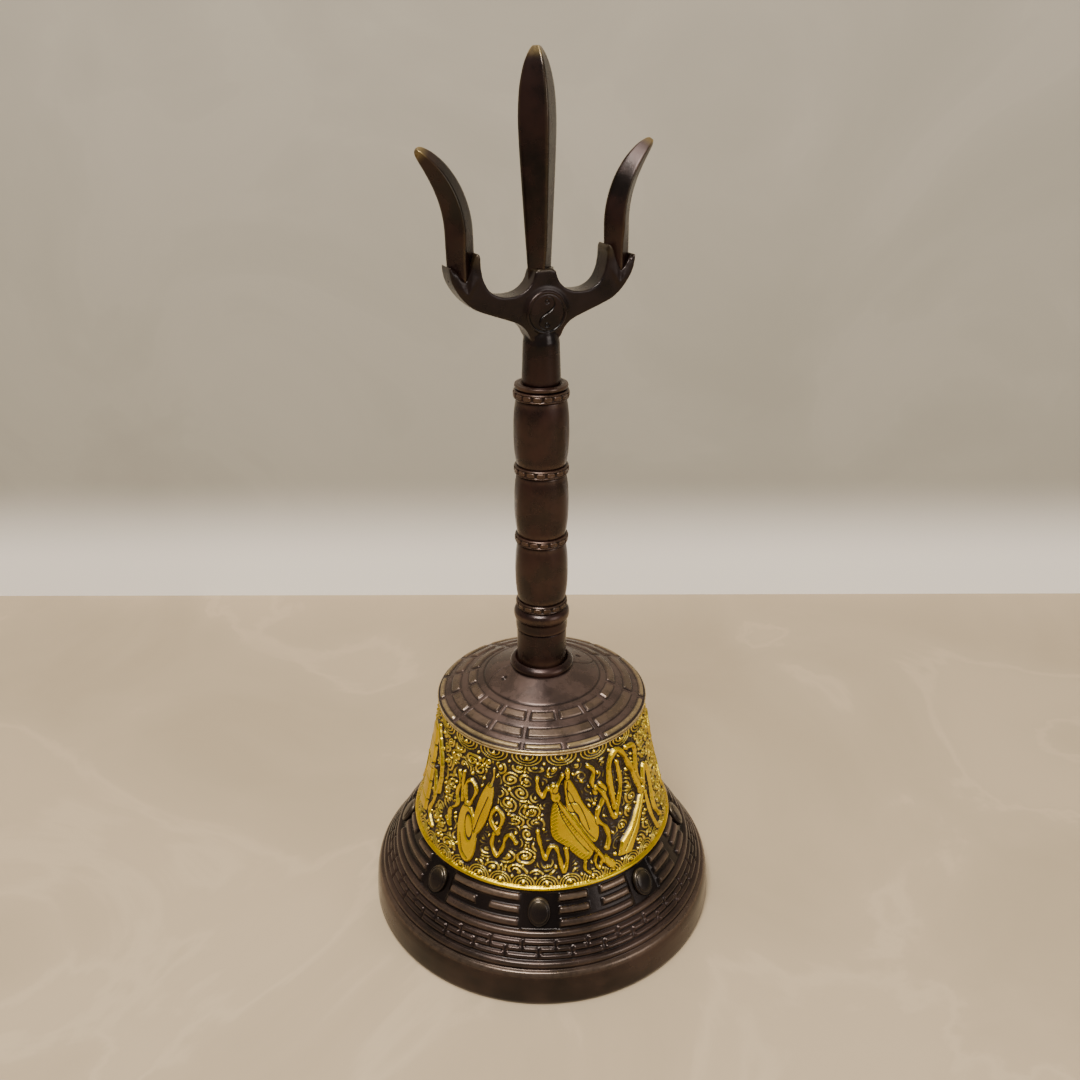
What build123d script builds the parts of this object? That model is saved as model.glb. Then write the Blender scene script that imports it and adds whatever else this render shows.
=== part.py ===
"""Trident-handled ritual hand bell, in millimetres.

Frame: origin at the centre of the ring the bell stands on, +Z up the bell's axis, trident arms along X.
The bell is one casting with a gilt relief sleeve and eight studs. The handle is a stack of barrels and
rings clamped on a tie rod by a nut under the crown, and the clapper hangs from the rod's end on a link.
"""
from build123d import *
import math
import os

os.makedirs("parts", exist_ok=True)

# Driving dimensions of the bell
mouth_r = 46.5          # largest radius, just above the resting face
lip_top_z = 9.9         # groove between the plain lip and the skirt
skirt_top_r = 34.7      # foot of the gilt relief
skirt_top_z = 25.2
shoulder_r = 26.9       # rim of the shoulder
shoulder_z = 61.0
dome_top_r = 8.1        # where the shoulder meets the collar
dome_top_z = 69.2
wall = 3.0              # wall of the casting, square to its surface
relief_seat = 0.9       # depth of the seat for the gilt sleeve
relief_mean = 0.8       # height of the sleeve above the waist
waist_mid_r = 29.2      # the waist is an arc through this radius
waist_mid_z = 43.5
waist_low_r = 33.6      # radius of the waist at its foot
waist_top_r = 26.4      # radius of the waist under the shoulder's rim
lip_bevel = 4.5         # width of the flat face the bell stands on, with the lip's rounding
bead_sink = 0.5         # depth of the plain grooves beside the skirt's beads
field_sink = 0.6        # depth of the upper field with the studs
stud_share = 0.735      # place of the studs from the skirt's foot (0) to its head (1)
bead_shares = ((0.02, 0.09, 0.12), (0.37, 0.39, 0.49, 0.51))    # edges of the two beads on the skirt
crown_flat_r = 9.0      # radius of the flat seat inside the crown

# Studs on the skirt
stud_count = 8
stud_phase = 19.7       # angle of the first stud from +X, in degrees
stud_width = 5.9
stud_height = 7.2
stud_rise = 0.9
stud_sunk = 0.8

# Driving dimensions of the handle
rod_r = 2.5             # tie rod, M5
bore_r = 2.55           # bore of everything stacked on the rod
neck_r = 6.2
neck_seam_z = 80.4
barrel_r = 6.5
barrel_end_r = 5.7
ring_r = 6.6
ring_height = 2.2
ring_levels = (87.6, 105.3, 123.0, 141.1)
cup_top_z = 143.9
shaft_r = 4.45
shaft_top_r = 3.95
shaft_top_z = 156.0
rod_top_z = 152.0

# Driving dimensions of the trident
hub_z = 159.8
medallion_r = 4.8
medallion_rise = 0.5
arm_depth = 5.5
hub_depth = 5.8
arm_foot_z = 153.8      # where the arms' lower edge leaves the shaft
blade_foot_z = 163.8
centre_socket_z = 169.0
centre_socket_r = 3.1
hub_socket_r = 2.6
tip_z = 212.0
tine_x = 18.3           # centre of a side tine where it stands straight
tine_straight_z = 177.0
tine_bend_r = 21.1
tine_foot_z = 167.5
tine_mouth_z = 171.0    # where a side tine leaves its socket
foot_ratio = 0.88       # depth of a blade's diamond section over its width, in its socket
edge_ratio = 1.18       # and along its free length

# Driving dimensions of the hardware and the clapper inside the bell
crown_z = 62.0          # flat seat under the crown
washer_r = 5.5
washer_thick = 1.2
nut_flats = 8.0
nut_thick = 4.0
wire_r = 1.0            # wire of the eye, the link and the clapper's loop
loop_r = 3.2            # centre line of each loop
link_straight = 2.0
hang_gap = 0.05         # clearance between two hanging loops
eye_collar_r = 3.6
eye_collar_top_z = 56.6
eye_collar_z = 52.0
clapper_rod_r = 1.5
clapper_ball_r = 6.5
clapper_ball_z = 13.5


def save(part, name):
    part.label = name
    export_step(part, f"parts/{name}.step")


# Places worked out from the driving dimensions
skirt_run = mouth_r - 1.9 - skirt_top_r
skirt_rise = skirt_top_z - lip_top_z
skirt_slope = math.hypot(skirt_run, skirt_rise)
wall_across = wall * skirt_slope / skirt_rise       # horizontal thickness of the skirt's wall
eye_z = eye_collar_z - 2.6                          # centre of the eye under the rod
eye_wire_z = eye_z - loop_r
link_wire_z = eye_wire_z + 2 * wire_r + hang_gap    # top wire of the link
link_z = link_wire_z - loop_r - link_straight / 2
link_low_z = link_z - loop_r - link_straight / 2
clapper_loop_z = link_low_z + 2 * wire_r + hang_gap - loop_r


def skirt_point(share, depth=0.0):
    """A point (r, z) on the skirt's cone, from its foot (0) to its head (1), sunk by depth."""
    r = mouth_r - 1.9 - skirt_run * share - depth * skirt_rise / skirt_slope
    z = lip_top_z + skirt_rise * share - depth * skirt_run / skirt_slope
    return (r, z)


# --- The bell casting: plain lip, skirt with two beads, waist, shoulder and crown -----------------
with BuildPart() as bell_shell:
    with BuildSketch(Plane.XZ):
        with BuildLine():
            lip = Polyline(
                (mouth_r - lip_bevel, 0),
                (mouth_r - 0.6, 0),
                (mouth_r, 0.8),
                (mouth_r - 0.3, 5.0),
                (mouth_r - 0.6, 7.3),
            )
            lip_round = ThreePointArc(lip @ 1, (mouth_r - 0.95, 8.7), (mouth_r - 1.8, 9.4))
            skirt = Polyline(
                lip_round @ 1,
                skirt_point(0, bead_sink),
                skirt_point(bead_shares[0][0]),
                skirt_point(bead_shares[0][1]),
                skirt_point(bead_shares[0][2], bead_sink),
                skirt_point(bead_shares[1][0], bead_sink),
                skirt_point(bead_shares[1][1]),
                skirt_point(bead_shares[1][2]),
                skirt_point(bead_shares[1][3], field_sink),
                skirt_point(0.97, field_sink),
                (skirt_top_r - 0.9, skirt_top_z + 0.3),
                (waist_low_r - relief_seat, skirt_top_z + 0.9),
            )
            seat = ThreePointArc(
                skirt @ 1,
                (waist_mid_r - relief_seat, waist_mid_z),
                (waist_top_r - relief_seat, shoulder_z - 0.8),
            )
            shoulder = Polyline(
                seat @ 1,
                (shoulder_r - 0.3, shoulder_z - 0.8),
                (shoulder_r, shoulder_z - 0.4),
                (shoulder_r, shoulder_z + 0.2),
                (shoulder_r - 0.5, shoulder_z + 0.6),
                (dome_top_r, dome_top_z),
                (bore_r, dome_top_z),
                (bore_r, crown_z),
                (crown_flat_r, crown_z),
                (shoulder_r - 4.0, shoulder_z - 4.4),
            )
            inside = ThreePointArc(
                shoulder @ 1,
                (waist_mid_r - relief_seat - 2.4, waist_mid_z),
                (skirt_top_r - wall_across, skirt_top_z),
            )
            Polyline(inside @ 1, (skirt_point(0)[0] - wall_across, lip_top_z), lip @ 0)
        make_face()
    revolve(axis=Axis.Z)
save(bell_shell.part, "bell_shell")

# --- Gilt relief sleeve round the waist, with a bead at its foot ----------------------------------
with BuildPart() as gilt_relief_band:
    with BuildSketch(Plane.XZ):
        with BuildLine():
            inner = ThreePointArc(
                (waist_low_r - relief_seat, skirt_top_z + 0.9),
                (waist_mid_r - relief_seat, waist_mid_z),
                (waist_top_r - relief_seat, shoulder_z - 0.8),
            )
            foot = Polyline(
                inner @ 0,
                (skirt_top_r - 0.9, skirt_top_z + 0.3),
                (skirt_top_r, skirt_top_z + 0.3),
                (skirt_top_r, skirt_top_z + 1.2),
                (waist_low_r + relief_mean, skirt_top_z + 1.5),
            )
            outer = ThreePointArc(
                foot @ 1, (waist_mid_r + relief_mean, waist_mid_z), (waist_top_r + 0.2, shoulder_z - 1.4)
            )
            Polyline(outer @ 1, (waist_top_r, shoulder_z - 0.8), inner @ 1)
        make_face()
    revolve(axis=Axis.Z)
save(gilt_relief_band.part, "gilt_relief_band")

# --- Eight oval studs set in the skirt -----------------------------------------------------------
stud_r, stud_z = skirt_point(stud_share, field_sink)
stud_tilt = math.degrees(math.atan2(skirt_run, skirt_rise))     # the cone's normal above the horizontal
with BuildPart() as skirt_studs:
    for index in range(stud_count):
        turn = stud_phase + index * 360 / stud_count
        face = Plane(
            origin=(stud_r * math.cos(math.radians(turn)), stud_r * math.sin(math.radians(turn)), stud_z),
            x_dir=(-math.sin(math.radians(turn)), math.cos(math.radians(turn)), 0),
            z_dir=(
                math.cos(math.radians(turn)) * math.cos(math.radians(stud_tilt)),
                math.sin(math.radians(turn)) * math.cos(math.radians(stud_tilt)),
                math.sin(math.radians(stud_tilt)),
            ),
        )
        with BuildSketch(face.offset(0.02)):
            Ellipse(stud_width / 2, stud_height / 2)
        with BuildSketch(face.offset(0.02 + stud_rise)):
            Ellipse(stud_width / 2 * 0.6, stud_height / 2 * 0.6)
        loft()
save(skirt_studs.part, "skirt_studs")


def turned(name, outline):
    """A ring turned round Z from a closed outline of (r, z) points, saved under its name."""
    with BuildPart() as ring:
        with BuildSketch(Plane.XZ):
            with BuildLine():
                Polyline(*outline, close=True)
            make_face()
        revolve(axis=Axis.Z)
    save(ring.part, name)
    return ring.part


# --- Collar on the crown and the neck that stands in it ------------------------------------------
collar_top_z = dome_top_z + 2.6
with BuildPart() as crown_collar:
    with BuildSketch(Plane.XZ):
        with BuildLine():
            side = ThreePointArc(
                (dome_top_r - 0.2, dome_top_z),
                (dome_top_r + 0.05, dome_top_z + 1.0),
                (dome_top_r - 1.2, collar_top_z),
            )
            Polyline(side @ 1, (neck_r, collar_top_z), (neck_r, dome_top_z), side @ 0)
        make_face()
    revolve(axis=Axis.Z)
save(crown_collar.part, "crown_collar")

turned(
    "neck_sleeve",
    [(bore_r, dome_top_z), (neck_r, dome_top_z), (neck_r, neck_seam_z), (bore_r, neck_seam_z)],
)

# --- Boss ring under the lowest handle ring ------------------------------------------------------
boss_top_z = ring_levels[0] - ring_height / 2
boss_step_z = neck_seam_z + 2.9
boss_bulge_z = neck_seam_z + 4.5
with BuildPart() as boss_ring:
    with BuildSketch(Plane.XZ):
        with BuildLine():
            low = Polyline(
                (bore_r, neck_seam_z),
                (neck_r, neck_seam_z),
                (neck_r + 0.3, neck_seam_z + 0.3),
                (neck_r + 0.3, boss_step_z),
            )
            bulge = ThreePointArc(low @ 1, (neck_r + 0.75, boss_bulge_z), (neck_r - 0.1, boss_top_z))
            Polyline(bulge @ 1, (bore_r, boss_top_z), low @ 0)
        make_face()
    revolve(axis=Axis.Z)
save(boss_ring.part, "boss_ring")

# --- Four handle rings and the three barrels between them ----------------------------------------
for index, level in enumerate(ring_levels):
    low_z = level - ring_height / 2
    high_z = level + ring_height / 2
    turned(
        f"handle_ring_{index + 1}",
        [
            (bore_r, low_z),
            (ring_r - 0.5, low_z),
            (ring_r, low_z + 0.5),
            (ring_r, high_z - 0.5),
            (ring_r - 0.5, high_z),
            (bore_r, high_z),
        ],
    )

for index in range(len(ring_levels) - 1):
    low_z = ring_levels[index] + ring_height / 2
    high_z = ring_levels[index + 1] - ring_height / 2
    with BuildPart() as barrel:
        with BuildSketch(Plane.XZ):
            with BuildLine():
                middle = (barrel_r, (low_z + high_z) / 2)
                belly = ThreePointArc((barrel_end_r, low_z), middle, (barrel_end_r, high_z))
                Polyline(belly @ 1, (bore_r, high_z), (bore_r, low_z), belly @ 0)
            make_face()
        revolve(axis=Axis.Z)
    save(barrel.part, f"handle_barrel_{index + 1}")

# --- Cup ring on top of the handle ---------------------------------------------------------------
cup_foot_z = ring_levels[-1] + ring_height / 2
turned(
    "cup_ring",
    [
        (bore_r, cup_foot_z),
        (ring_r - 0.9, cup_foot_z),
        (ring_r - 0.35, cup_foot_z + 0.5),
        (ring_r - 0.35, cup_top_z - 0.5),
        (ring_r - 0.8, cup_top_z),
        (bore_r, cup_top_z),
    ],
)


# --- Blade and tines: bars on edge that swell and end in a point ---------------------------------
def diamond(plane, width, ratio=edge_ratio):
    across = width / 2
    deep = across * ratio
    with BuildSketch(plane) as section:
        with BuildLine():
            Polyline((across, 0), (0, deep), (-across, 0), (0, -deep), close=True)
        make_face()
    return section.sketch


# Width of the centre blade at each height along its free length
blade_widths = (
    (176, 6.65),
    (185, 7.8),
    (197.5, 8.9),
    (204.2, 8.0),
    (208.6, 5.7),
    (tip_z - 0.9, 2.7),
    (tip_z, 0.7),
)
with BuildPart() as centre_blade:
    add(diamond(Plane.XY.offset(blade_foot_z), 5.4, foot_ratio))
    add(diamond(Plane.XY.offset(centre_socket_z), 5.75, foot_ratio))
    for level, width in blade_widths:
        add(diamond(Plane.XY.offset(level), width))
    loft()
save(centre_blade.part, "centre_blade")

# Width of a side tine at each angle round its bend, from straight (0) to the point
tine_widths = (
    (0, 6.4),
    (6, 6.35),
    (12, 6.2),
    (18, 6.0),
    (25, 5.7),
    (31, 5.3),
    (36, 4.9),
    (42, 4.2),
    (47, 3.4),
    (51, 2.5),
    (53.9, 0.6),
)
tine_foot_widths = ((tine_foot_z, 6.2), (tine_mouth_z, 6.3))


def tine_plane(side, angle):
    """The plane square to a tine's centre line, at an angle round its outward bend."""
    turn = math.radians(angle)
    x = side * (tine_x + tine_bend_r * (1 - math.cos(turn)))
    z = tine_straight_z + tine_bend_r * math.sin(turn)
    along = (side * math.sin(turn), 0, math.cos(turn))
    across = (math.cos(turn), 0, -side * math.sin(turn))
    return Plane(origin=(x, 0, z), x_dir=across, z_dir=along)


tines = {}
for name, side in (("left_tine", -1), ("right_tine", 1)):
    with BuildPart() as tine:
        for level, width in tine_foot_widths:
            add(diamond(Plane.XY.move(Location((side * tine_x, 0, level))), width, foot_ratio))
        for angle, width in tine_widths:
            add(diamond(tine_plane(side, angle), width))
        loft(ruled=True)
    tines[name] = tine.part
    save(tine.part, name)

# --- Trident head: shaft, hub with two flat seats, two curved arms and three sockets -------------
def hub_face(side):
    """The flat seat of a medallion on the front (-1) or back (1) of the hub, facing outwards."""
    return Plane(origin=(0, side * hub_depth / 2, hub_z), x_dir=(1, 0, 0), z_dir=(0, side, 0))


with BuildPart() as trident_head:
    with BuildSketch(Plane.XZ):
        with BuildLine():
            lower = Spline(
                (3.4, arm_foot_z),
                (6.2, 156.9),
                (12.8, 159.4),
                (17.6, 161.6),
                (20.9, 165.2),
                (22.1, 170.6),
            )
            mouth = Polyline(lower @ 1, (20.9, 170.8), (18.2, 169.2), (15.2, 172.9), (14.0, 172.6))
            bow = ThreePointArc(mouth @ 1, (8.2, 164.0), (2.9, 167.2))
            Polyline(bow @ 1, (2.9, centre_socket_z), (0, centre_socket_z), (0, arm_foot_z), lower @ 0)
        make_face()
        mirror(about=Plane.YZ)
    extrude(amount=arm_depth / 2, both=True)
    with BuildSketch(Plane.XZ):
        with Locations((0, hub_z)):
            Circle(medallion_r + 0.4)
    extrude(amount=hub_depth / 2, both=True)
    with BuildSketch(Plane.XY.offset(hub_z)):
        RegularPolygon(hub_socket_r, 6)
    with BuildSketch(Plane.XY.offset(centre_socket_z)):
        RegularPolygon(centre_socket_r, 6)
    loft()
    with BuildSketch(Plane.XZ):
        with BuildLine():
            Polyline(
                (0, cup_top_z),
                (shaft_r, cup_top_z),
                (shaft_top_r, shaft_top_z),
                (0, shaft_top_z),
                close=True,
            )
        make_face()
    revolve(axis=Axis.Z)
    for side in (-1, 1):
        with BuildSketch(hub_face(side)):
            Circle(medallion_r)
        extrude(amount=shaft_r, mode=Mode.SUBTRACT)
    with BuildSketch(Plane.XY.offset(cup_top_z)):
        Circle(bore_r)
    extrude(amount=rod_top_z - cup_top_z, mode=Mode.SUBTRACT)
    for blade in (centre_blade.part, *tines.values()):
        add(blade, mode=Mode.SUBTRACT)
save(trident_head.part, "trident_head")

# --- Engraved medallions on both faces of the hub ------------------------------------------------
for name, side in (("front_medallion", -1), ("back_medallion", 1)):
    face = hub_face(side)
    with BuildPart() as medallion:
        with BuildSketch(face):
            Circle(medallion_r)
        with BuildSketch(face.offset(medallion_rise)):
            Circle(medallion_r - 0.6)
        loft()
    save(medallion.part, name)

# --- Tie rod with its washer and nut under the crown ---------------------------------------------
rod_foot_z = eye_collar_z + 1.6
with BuildPart() as tie_rod:
    with BuildSketch(Plane.XY.offset(rod_foot_z)):
        Circle(rod_r)
    extrude(amount=rod_top_z - 0.5 - rod_foot_z)
save(tie_rod.part, "tie_rod")

turned(
    "crown_washer",
    [
        (bore_r, crown_z - washer_thick),
        (washer_r, crown_z - washer_thick),
        (washer_r, crown_z),
        (bore_r, crown_z),
    ],
)

with BuildPart() as crown_nut:
    with BuildSketch(Plane.XY.offset(crown_z - washer_thick - nut_thick)):
        RegularPolygon(nut_flats / 2, 6, major_radius=False)
        Circle(bore_r, mode=Mode.SUBTRACT)
    extrude(amount=nut_thick)
save(crown_nut.part, "crown_nut")


# --- Eye under the rod, link and clapper ---------------------------------------------------------
def loop(plane, straight):
    """A closed wire loop in a plane, its two half circles set apart by a straight length along Z."""
    with BuildPart() as wire:
        with BuildLine(plane) as path:
            top = CenterArc((0, straight / 2), loop_r, 0, 180)
            bottom = CenterArc((0, -straight / 2), loop_r, 180, 180)
            if straight:
                Line(top @ 1, bottom @ 0)
                Line(bottom @ 1, top @ 0)
        with BuildSketch(Plane(origin=top @ 0, z_dir=top % 0)):
            Circle(wire_r)
        sweep(path=path.wire())
    return wire.part


def upright(z, normal):
    """A plane through the axis at a height, with its own Y along +Z."""
    x_dir = (1, 0, 0) if normal == "Y" else (0, 1, 0)
    z_dir = (0, -1, 0) if normal == "Y" else (1, 0, 0)
    return Plane(origin=(0, 0, z), x_dir=x_dir, z_dir=z_dir)


with BuildPart() as clapper_eye:
    with BuildSketch(Plane.XY.offset(eye_collar_z)):
        Circle(eye_collar_r)
    extrude(amount=eye_collar_top_z - eye_collar_z)
    with BuildSketch(Plane.XY.offset(rod_foot_z)):
        Circle(bore_r)
    extrude(amount=eye_collar_top_z - rod_foot_z, mode=Mode.SUBTRACT)
    add(loop(upright(eye_z, "Y"), 0))
save(clapper_eye.part, "clapper_eye")

with BuildPart() as clapper_link:
    add(loop(upright(link_z, "X"), link_straight))
save(clapper_link.part, "clapper_link")

with BuildPart() as clapper_rod:
    add(loop(upright(clapper_loop_z, "Y"), 0))
    with BuildSketch(Plane.XY.offset(clapper_ball_z + clapper_ball_r - 0.4)):
        Circle(clapper_rod_r)
    extrude(amount=clapper_loop_z - loop_r - clapper_ball_z - clapper_ball_r + 0.4)
save(clapper_rod.part, "clapper_rod")

with BuildPart() as clapper_ball:
    with Locations((0, 0, clapper_ball_z)):
        Sphere(clapper_ball_r)
    add(clapper_rod.part, mode=Mode.SUBTRACT)
save(clapper_ball.part, "clapper_ball")

print("clapper pivots at z", round(eye_wire_z, 3), "and", round(link_low_z, 3))
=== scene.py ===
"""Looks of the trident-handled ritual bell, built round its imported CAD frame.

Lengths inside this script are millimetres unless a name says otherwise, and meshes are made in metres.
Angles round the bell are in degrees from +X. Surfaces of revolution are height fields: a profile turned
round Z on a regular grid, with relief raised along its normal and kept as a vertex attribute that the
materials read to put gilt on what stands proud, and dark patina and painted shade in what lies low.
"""

import functools
import itertools
import math

import bmesh
import bpy
import numpy as np
from mathutils import Matrix, Vector


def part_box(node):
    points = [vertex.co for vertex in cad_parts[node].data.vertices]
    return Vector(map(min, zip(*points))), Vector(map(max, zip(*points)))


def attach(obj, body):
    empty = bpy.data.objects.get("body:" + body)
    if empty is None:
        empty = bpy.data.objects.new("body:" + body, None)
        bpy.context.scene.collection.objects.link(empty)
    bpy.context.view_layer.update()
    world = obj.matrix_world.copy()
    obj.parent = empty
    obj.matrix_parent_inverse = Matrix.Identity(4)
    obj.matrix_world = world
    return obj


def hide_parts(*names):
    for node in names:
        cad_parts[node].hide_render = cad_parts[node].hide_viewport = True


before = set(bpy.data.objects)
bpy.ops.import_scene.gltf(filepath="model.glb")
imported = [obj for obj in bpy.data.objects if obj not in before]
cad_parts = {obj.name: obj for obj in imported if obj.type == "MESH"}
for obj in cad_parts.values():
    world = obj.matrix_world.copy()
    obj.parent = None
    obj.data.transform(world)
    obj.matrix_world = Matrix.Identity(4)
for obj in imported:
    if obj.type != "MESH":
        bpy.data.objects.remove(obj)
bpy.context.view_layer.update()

MM = 0.001
RNG_SEED = 11
BODY = "bell"
FAR = 1e9


# --- Sizes read from the frame ---------------------------------------------------------------------
def span(node):
    """Lowest and highest corner of a CAD node in millimetres."""
    low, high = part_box(node)
    return np.array(low) / MM, np.array(high) / MM


shell_high = span("bell_shell")[1]
band_low, band_high = span("gilt_relief_band")
neck_low, neck_high = span("neck_sleeve")
cup_low, cup_high = span("cup_ring")
medal_low, medal_high = span("front_medallion")

MOUTH_R = shell_high[0] - 0.02
SKIRT_TOP_R = band_high[0]
SKIRT_TOP_Z = band_low[2] - 0.3
SHOULDER_Z = band_high[2] + 0.8
SHOULDER_R = 26.9
DOME_TOP_R = 8.1
DOME_TOP_Z = shell_high[2]
LIP_TOP_Z = 9.9
LIP_TOP_R = MOUTH_R - 1.9
WALL = 3.0
CROWN_Z = span("crown_washer")[1][2]
COLLAR_FOOT_Z = span("crown_collar")[0][2]
BOSS_TOP_Z = span("boss_ring")[1][2]
BORE_R = 2.62           # just clear of the tie rod
SECTOR = 45.0           # one of the eight sectors round the bell
STUD_PHASE = 19.7       # angle of the first stud

# --- Camera of the photograph ----------------------------------------------------------------------
CAM_TURN = 24.0         # the camera stands this far round from the trident's front, towards its left arm
CAM_PITCH = 24.95
CAM_ROLL = -0.137
CAM_BACK = 220.3
CAM_HEIGHT = 206.6
CAM_FOCAL = 1000.0 / 1080.0
CAM_ASIDE = -0.37


def from_camera(angle):
    """Angle from +X of a place that lies angle degrees to the right of the camera's own azimuth."""
    return -90.0 - CAM_TURN + angle


# --- Small maths -----------------------------------------------------------------------------------
def full_turn(columns):
    """Even angles round a whole turn, in degrees."""
    return np.arange(columns) * 360.0 / columns


def least(*fields):
    """The smallest of several fields, place by place."""
    return functools.reduce(np.minimum, fields)


def ease(x):
    x = np.clip(x, 0.0, 1.0)
    return x * x * (3 - 2 * x)


def rise(distance, width, edge):
    """1 inside a shape, falling to 0 over edge at width from its middle line."""
    return ease((width + edge / 2 - distance) / edge)


def hump(x, width):
    """A soft ridge of height 1 where x is 0."""
    return np.exp(-((x / width) ** 2))


def half_round(x, radius):
    """A half circle of height 1 over where x is 0."""
    return np.sqrt(np.clip(1 - (x / radius) ** 2, 0, 1))


def round_bar(x, low, high):
    """A half-round rib between low and high."""
    return half_round(x - (low + high) / 2, (high - low) / 2)


def segment_distance(x, y, a, b):
    dx, dy = b[0] - a[0], b[1] - a[1]
    share = np.clip(((x - a[0]) * dx + (y - a[1]) * dy) / (dx * dx + dy * dy + 1e-9), 0, 1)
    return np.hypot(x - a[0] - share * dx, y - a[1] - share * dy)


def line_distance(x, y, points):
    return least(*(segment_distance(x, y, a, b) for a, b in zip(points[:-1], points[1:])))


def oval(centre, half, lean):
    """Rough signed distance to a leaning oval, as a function of x and y.

    half is (half width, half length), and lean is in degrees to the right.
    """
    turn = math.radians(lean)

    def distance(x, y):
        dx, dy = x - centre[0], y - centre[1]
        across = dx * math.cos(turn) - dy * math.sin(turn)
        along = dx * math.sin(turn) + dy * math.cos(turn)
        return (np.hypot(across / half[0], along / half[1]) - 1) * min(half)

    return distance


def polygon(points, swell=0.0):
    """Signed distance to a closed outline, negative inside, as a function of x and y."""
    def distance(x, y):
        edge = line_distance(x, y, [*points, points[0]])
        inside = np.zeros(np.shape(x), bool)
        for (ax, ay), (bx, by) in zip(points, [*points[1:], points[0]]):
            crosses = (ay > y) != (by > y)
            inside ^= crosses & (x < (bx - ax) * (y - ay) / (by - ay + 1e-12) + ax)
        return np.where(inside, -edge, edge) - swell

    return distance


def smooth_line(points, steps=6):
    """A Catmull-Rom curve through a few points, as a finer list."""
    p = [np.array(q, float) for q in (points[0], *points, points[-1])]
    out = []
    for i in range(1, len(p) - 2):
        before, here, ahead, beyond = p[i - 1:i + 3]
        slope = ahead - before
        bend = 2 * before - 5 * here + 4 * ahead - beyond
        twist = 3 * here - before - 3 * ahead + beyond
        for t in np.arange(steps) / steps:
            out.append(0.5 * (2 * here + slope * t + bend * t**2 + twist * t**3))
    out.append(p[-2])
    return out


def smooth_ring(points):
    """A closed smooth outline through a few points."""
    ring = smooth_line([points[-1], *points, points[0]], 4)
    return [tuple(p) for p in ring[4:-5]]


def noise_field(rng, shape, cells):
    """Smooth noise that closes round the columns, from 0 to 1."""
    rows, cols = shape
    coarse = rng.random((cells[0] + 2, cells[1]))
    y = np.linspace(0, cells[0], rows)
    x = np.linspace(0, cells[1], cols, endpoint=False)
    y0, x0 = y.astype(int), x.astype(int)
    fy, fx = ease(y - y0)[:, None], ease(x - x0)[None, :]
    x1 = (x0 + 1) % cells[1]
    top = coarse[y0][:, x0] * (1 - fx) + coarse[y0][:, x1] * fx
    low = coarse[y0 + 1][:, x0] * (1 - fx) + coarse[y0 + 1][:, x1] * fx
    return top * (1 - fy) + low * fy


def sectors(angle, phase):
    """Which eighth of a turn an angle lies in, counted from phase, and how far from its middle."""
    index = np.floor((angle - phase + SECTOR / 2) / SECTOR).astype(int)
    return index, angle - phase - index * SECTOR


def raised(z, points):
    """(r, height above z) points as (r, z)."""
    return [(r, z + up) for r, up in points]


def resample(outline, step):
    """Points along a polyline of (r, z), at even steps, every corner kept."""
    out = [np.array(outline[0], float)]
    for a, b in zip(outline[:-1], outline[1:]):
        a, b = np.array(a, float), np.array(b, float)
        count = max(1, int(math.ceil(np.hypot(*(b - a)) / step)))
        out += [a + (b - a) * k / count for k in range(1, count + 1)]
    return np.array(out)


def arc_through(a, b, c, count):
    """Points on the circle through three (r, z) points."""
    (ax, ay), (bx, by), (cx, cy) = a, b, c
    aa, bb, cc = ax**2 + ay**2, bx**2 + by**2, cx**2 + cy**2
    d = 2 * (ax * (by - cy) + bx * (cy - ay) + cx * (ay - by))
    ux = (aa * (by - cy) + bb * (cy - ay) + cc * (ay - by)) / d
    uy = (aa * (cx - bx) + bb * (ax - cx) + cc * (bx - ax)) / d
    radius = math.hypot(ax - ux, ay - uy)
    start, end = (math.atan2(p[1] - uy, p[0] - ux) for p in (a, c))
    while end - start > math.pi:
        end -= 2 * math.pi
    while end - start < -math.pi:
        end += 2 * math.pi
    return [(ux + radius * math.cos(t), uy + radius * math.sin(t)) for t in np.linspace(start, end, count)]


# --- Meshes ----------------------------------------------------------------------------------------
def placed(name, data):
    """An object in the scene for a mesh, light or camera."""
    thing = bpy.data.objects.new(name, data)
    bpy.context.collection.objects.link(thing)
    return thing


def coat(piece, material):
    piece.data.materials.clear()
    piece.data.materials.append(material)
    return piece


def bell_piece(name, mesh, node, material, relief, wear_and_highlight):
    """A mesh as a piece that rides on the bell and stands for a CAD node, in its coat.

    relief and wear hold one number for each vertex, for the material to read. The relief also
    carries painted shade, and the wear also carries painted highlights.
    """
    piece = placed(name, mesh)
    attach(piece, BODY)
    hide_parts(node)
    for layer_name, values in (("relief", relief), ("wear_and_highlight", wear_and_highlight)):
        layer = mesh.attributes.new(layer_name, "FLOAT", "POINT")
        layer.data.foreach_set("value", np.asarray(values, np.float32).ravel())
    return coat(piece, material)


def smooth_shaded(mesh):
    mesh.polygons.foreach_set("use_smooth", [True] * len(mesh.polygons))
    return mesh


def quad_mesh(name, verts, quads):
    """A mesh in metres from a long list of quads."""
    mesh = bpy.data.meshes.new(name)
    verts = np.asarray(verts, np.float32) * MM
    quads = np.asarray(quads, np.int32)
    mesh.vertices.add(len(verts))
    mesh.vertices.foreach_set("co", verts.ravel())
    mesh.loops.add(quads.size)
    mesh.loops.foreach_set("vertex_index", quads.ravel())
    mesh.polygons.add(len(quads))
    mesh.polygons.foreach_set("loop_start", np.arange(0, quads.size, 4, dtype=np.int32))
    smooth_shaded(mesh)
    mesh.update(calc_edges=True)
    mesh.validate()
    return mesh


def closed_mesh(name, verts, faces):
    """A mesh in metres from faces with any number of corners, their normals turned outward."""
    bm = bmesh.new()
    points = [bm.verts.new(Vector(v) * MM) for v in verts]
    for face in faces:
        bm.faces.new([points[i] for i in face])
    bmesh.ops.recalc_face_normals(bm, faces=bm.faces)
    mesh = bpy.data.meshes.new(name)
    bm.to_mesh(mesh)
    bm.free()
    return smooth_shaded(mesh)


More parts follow.
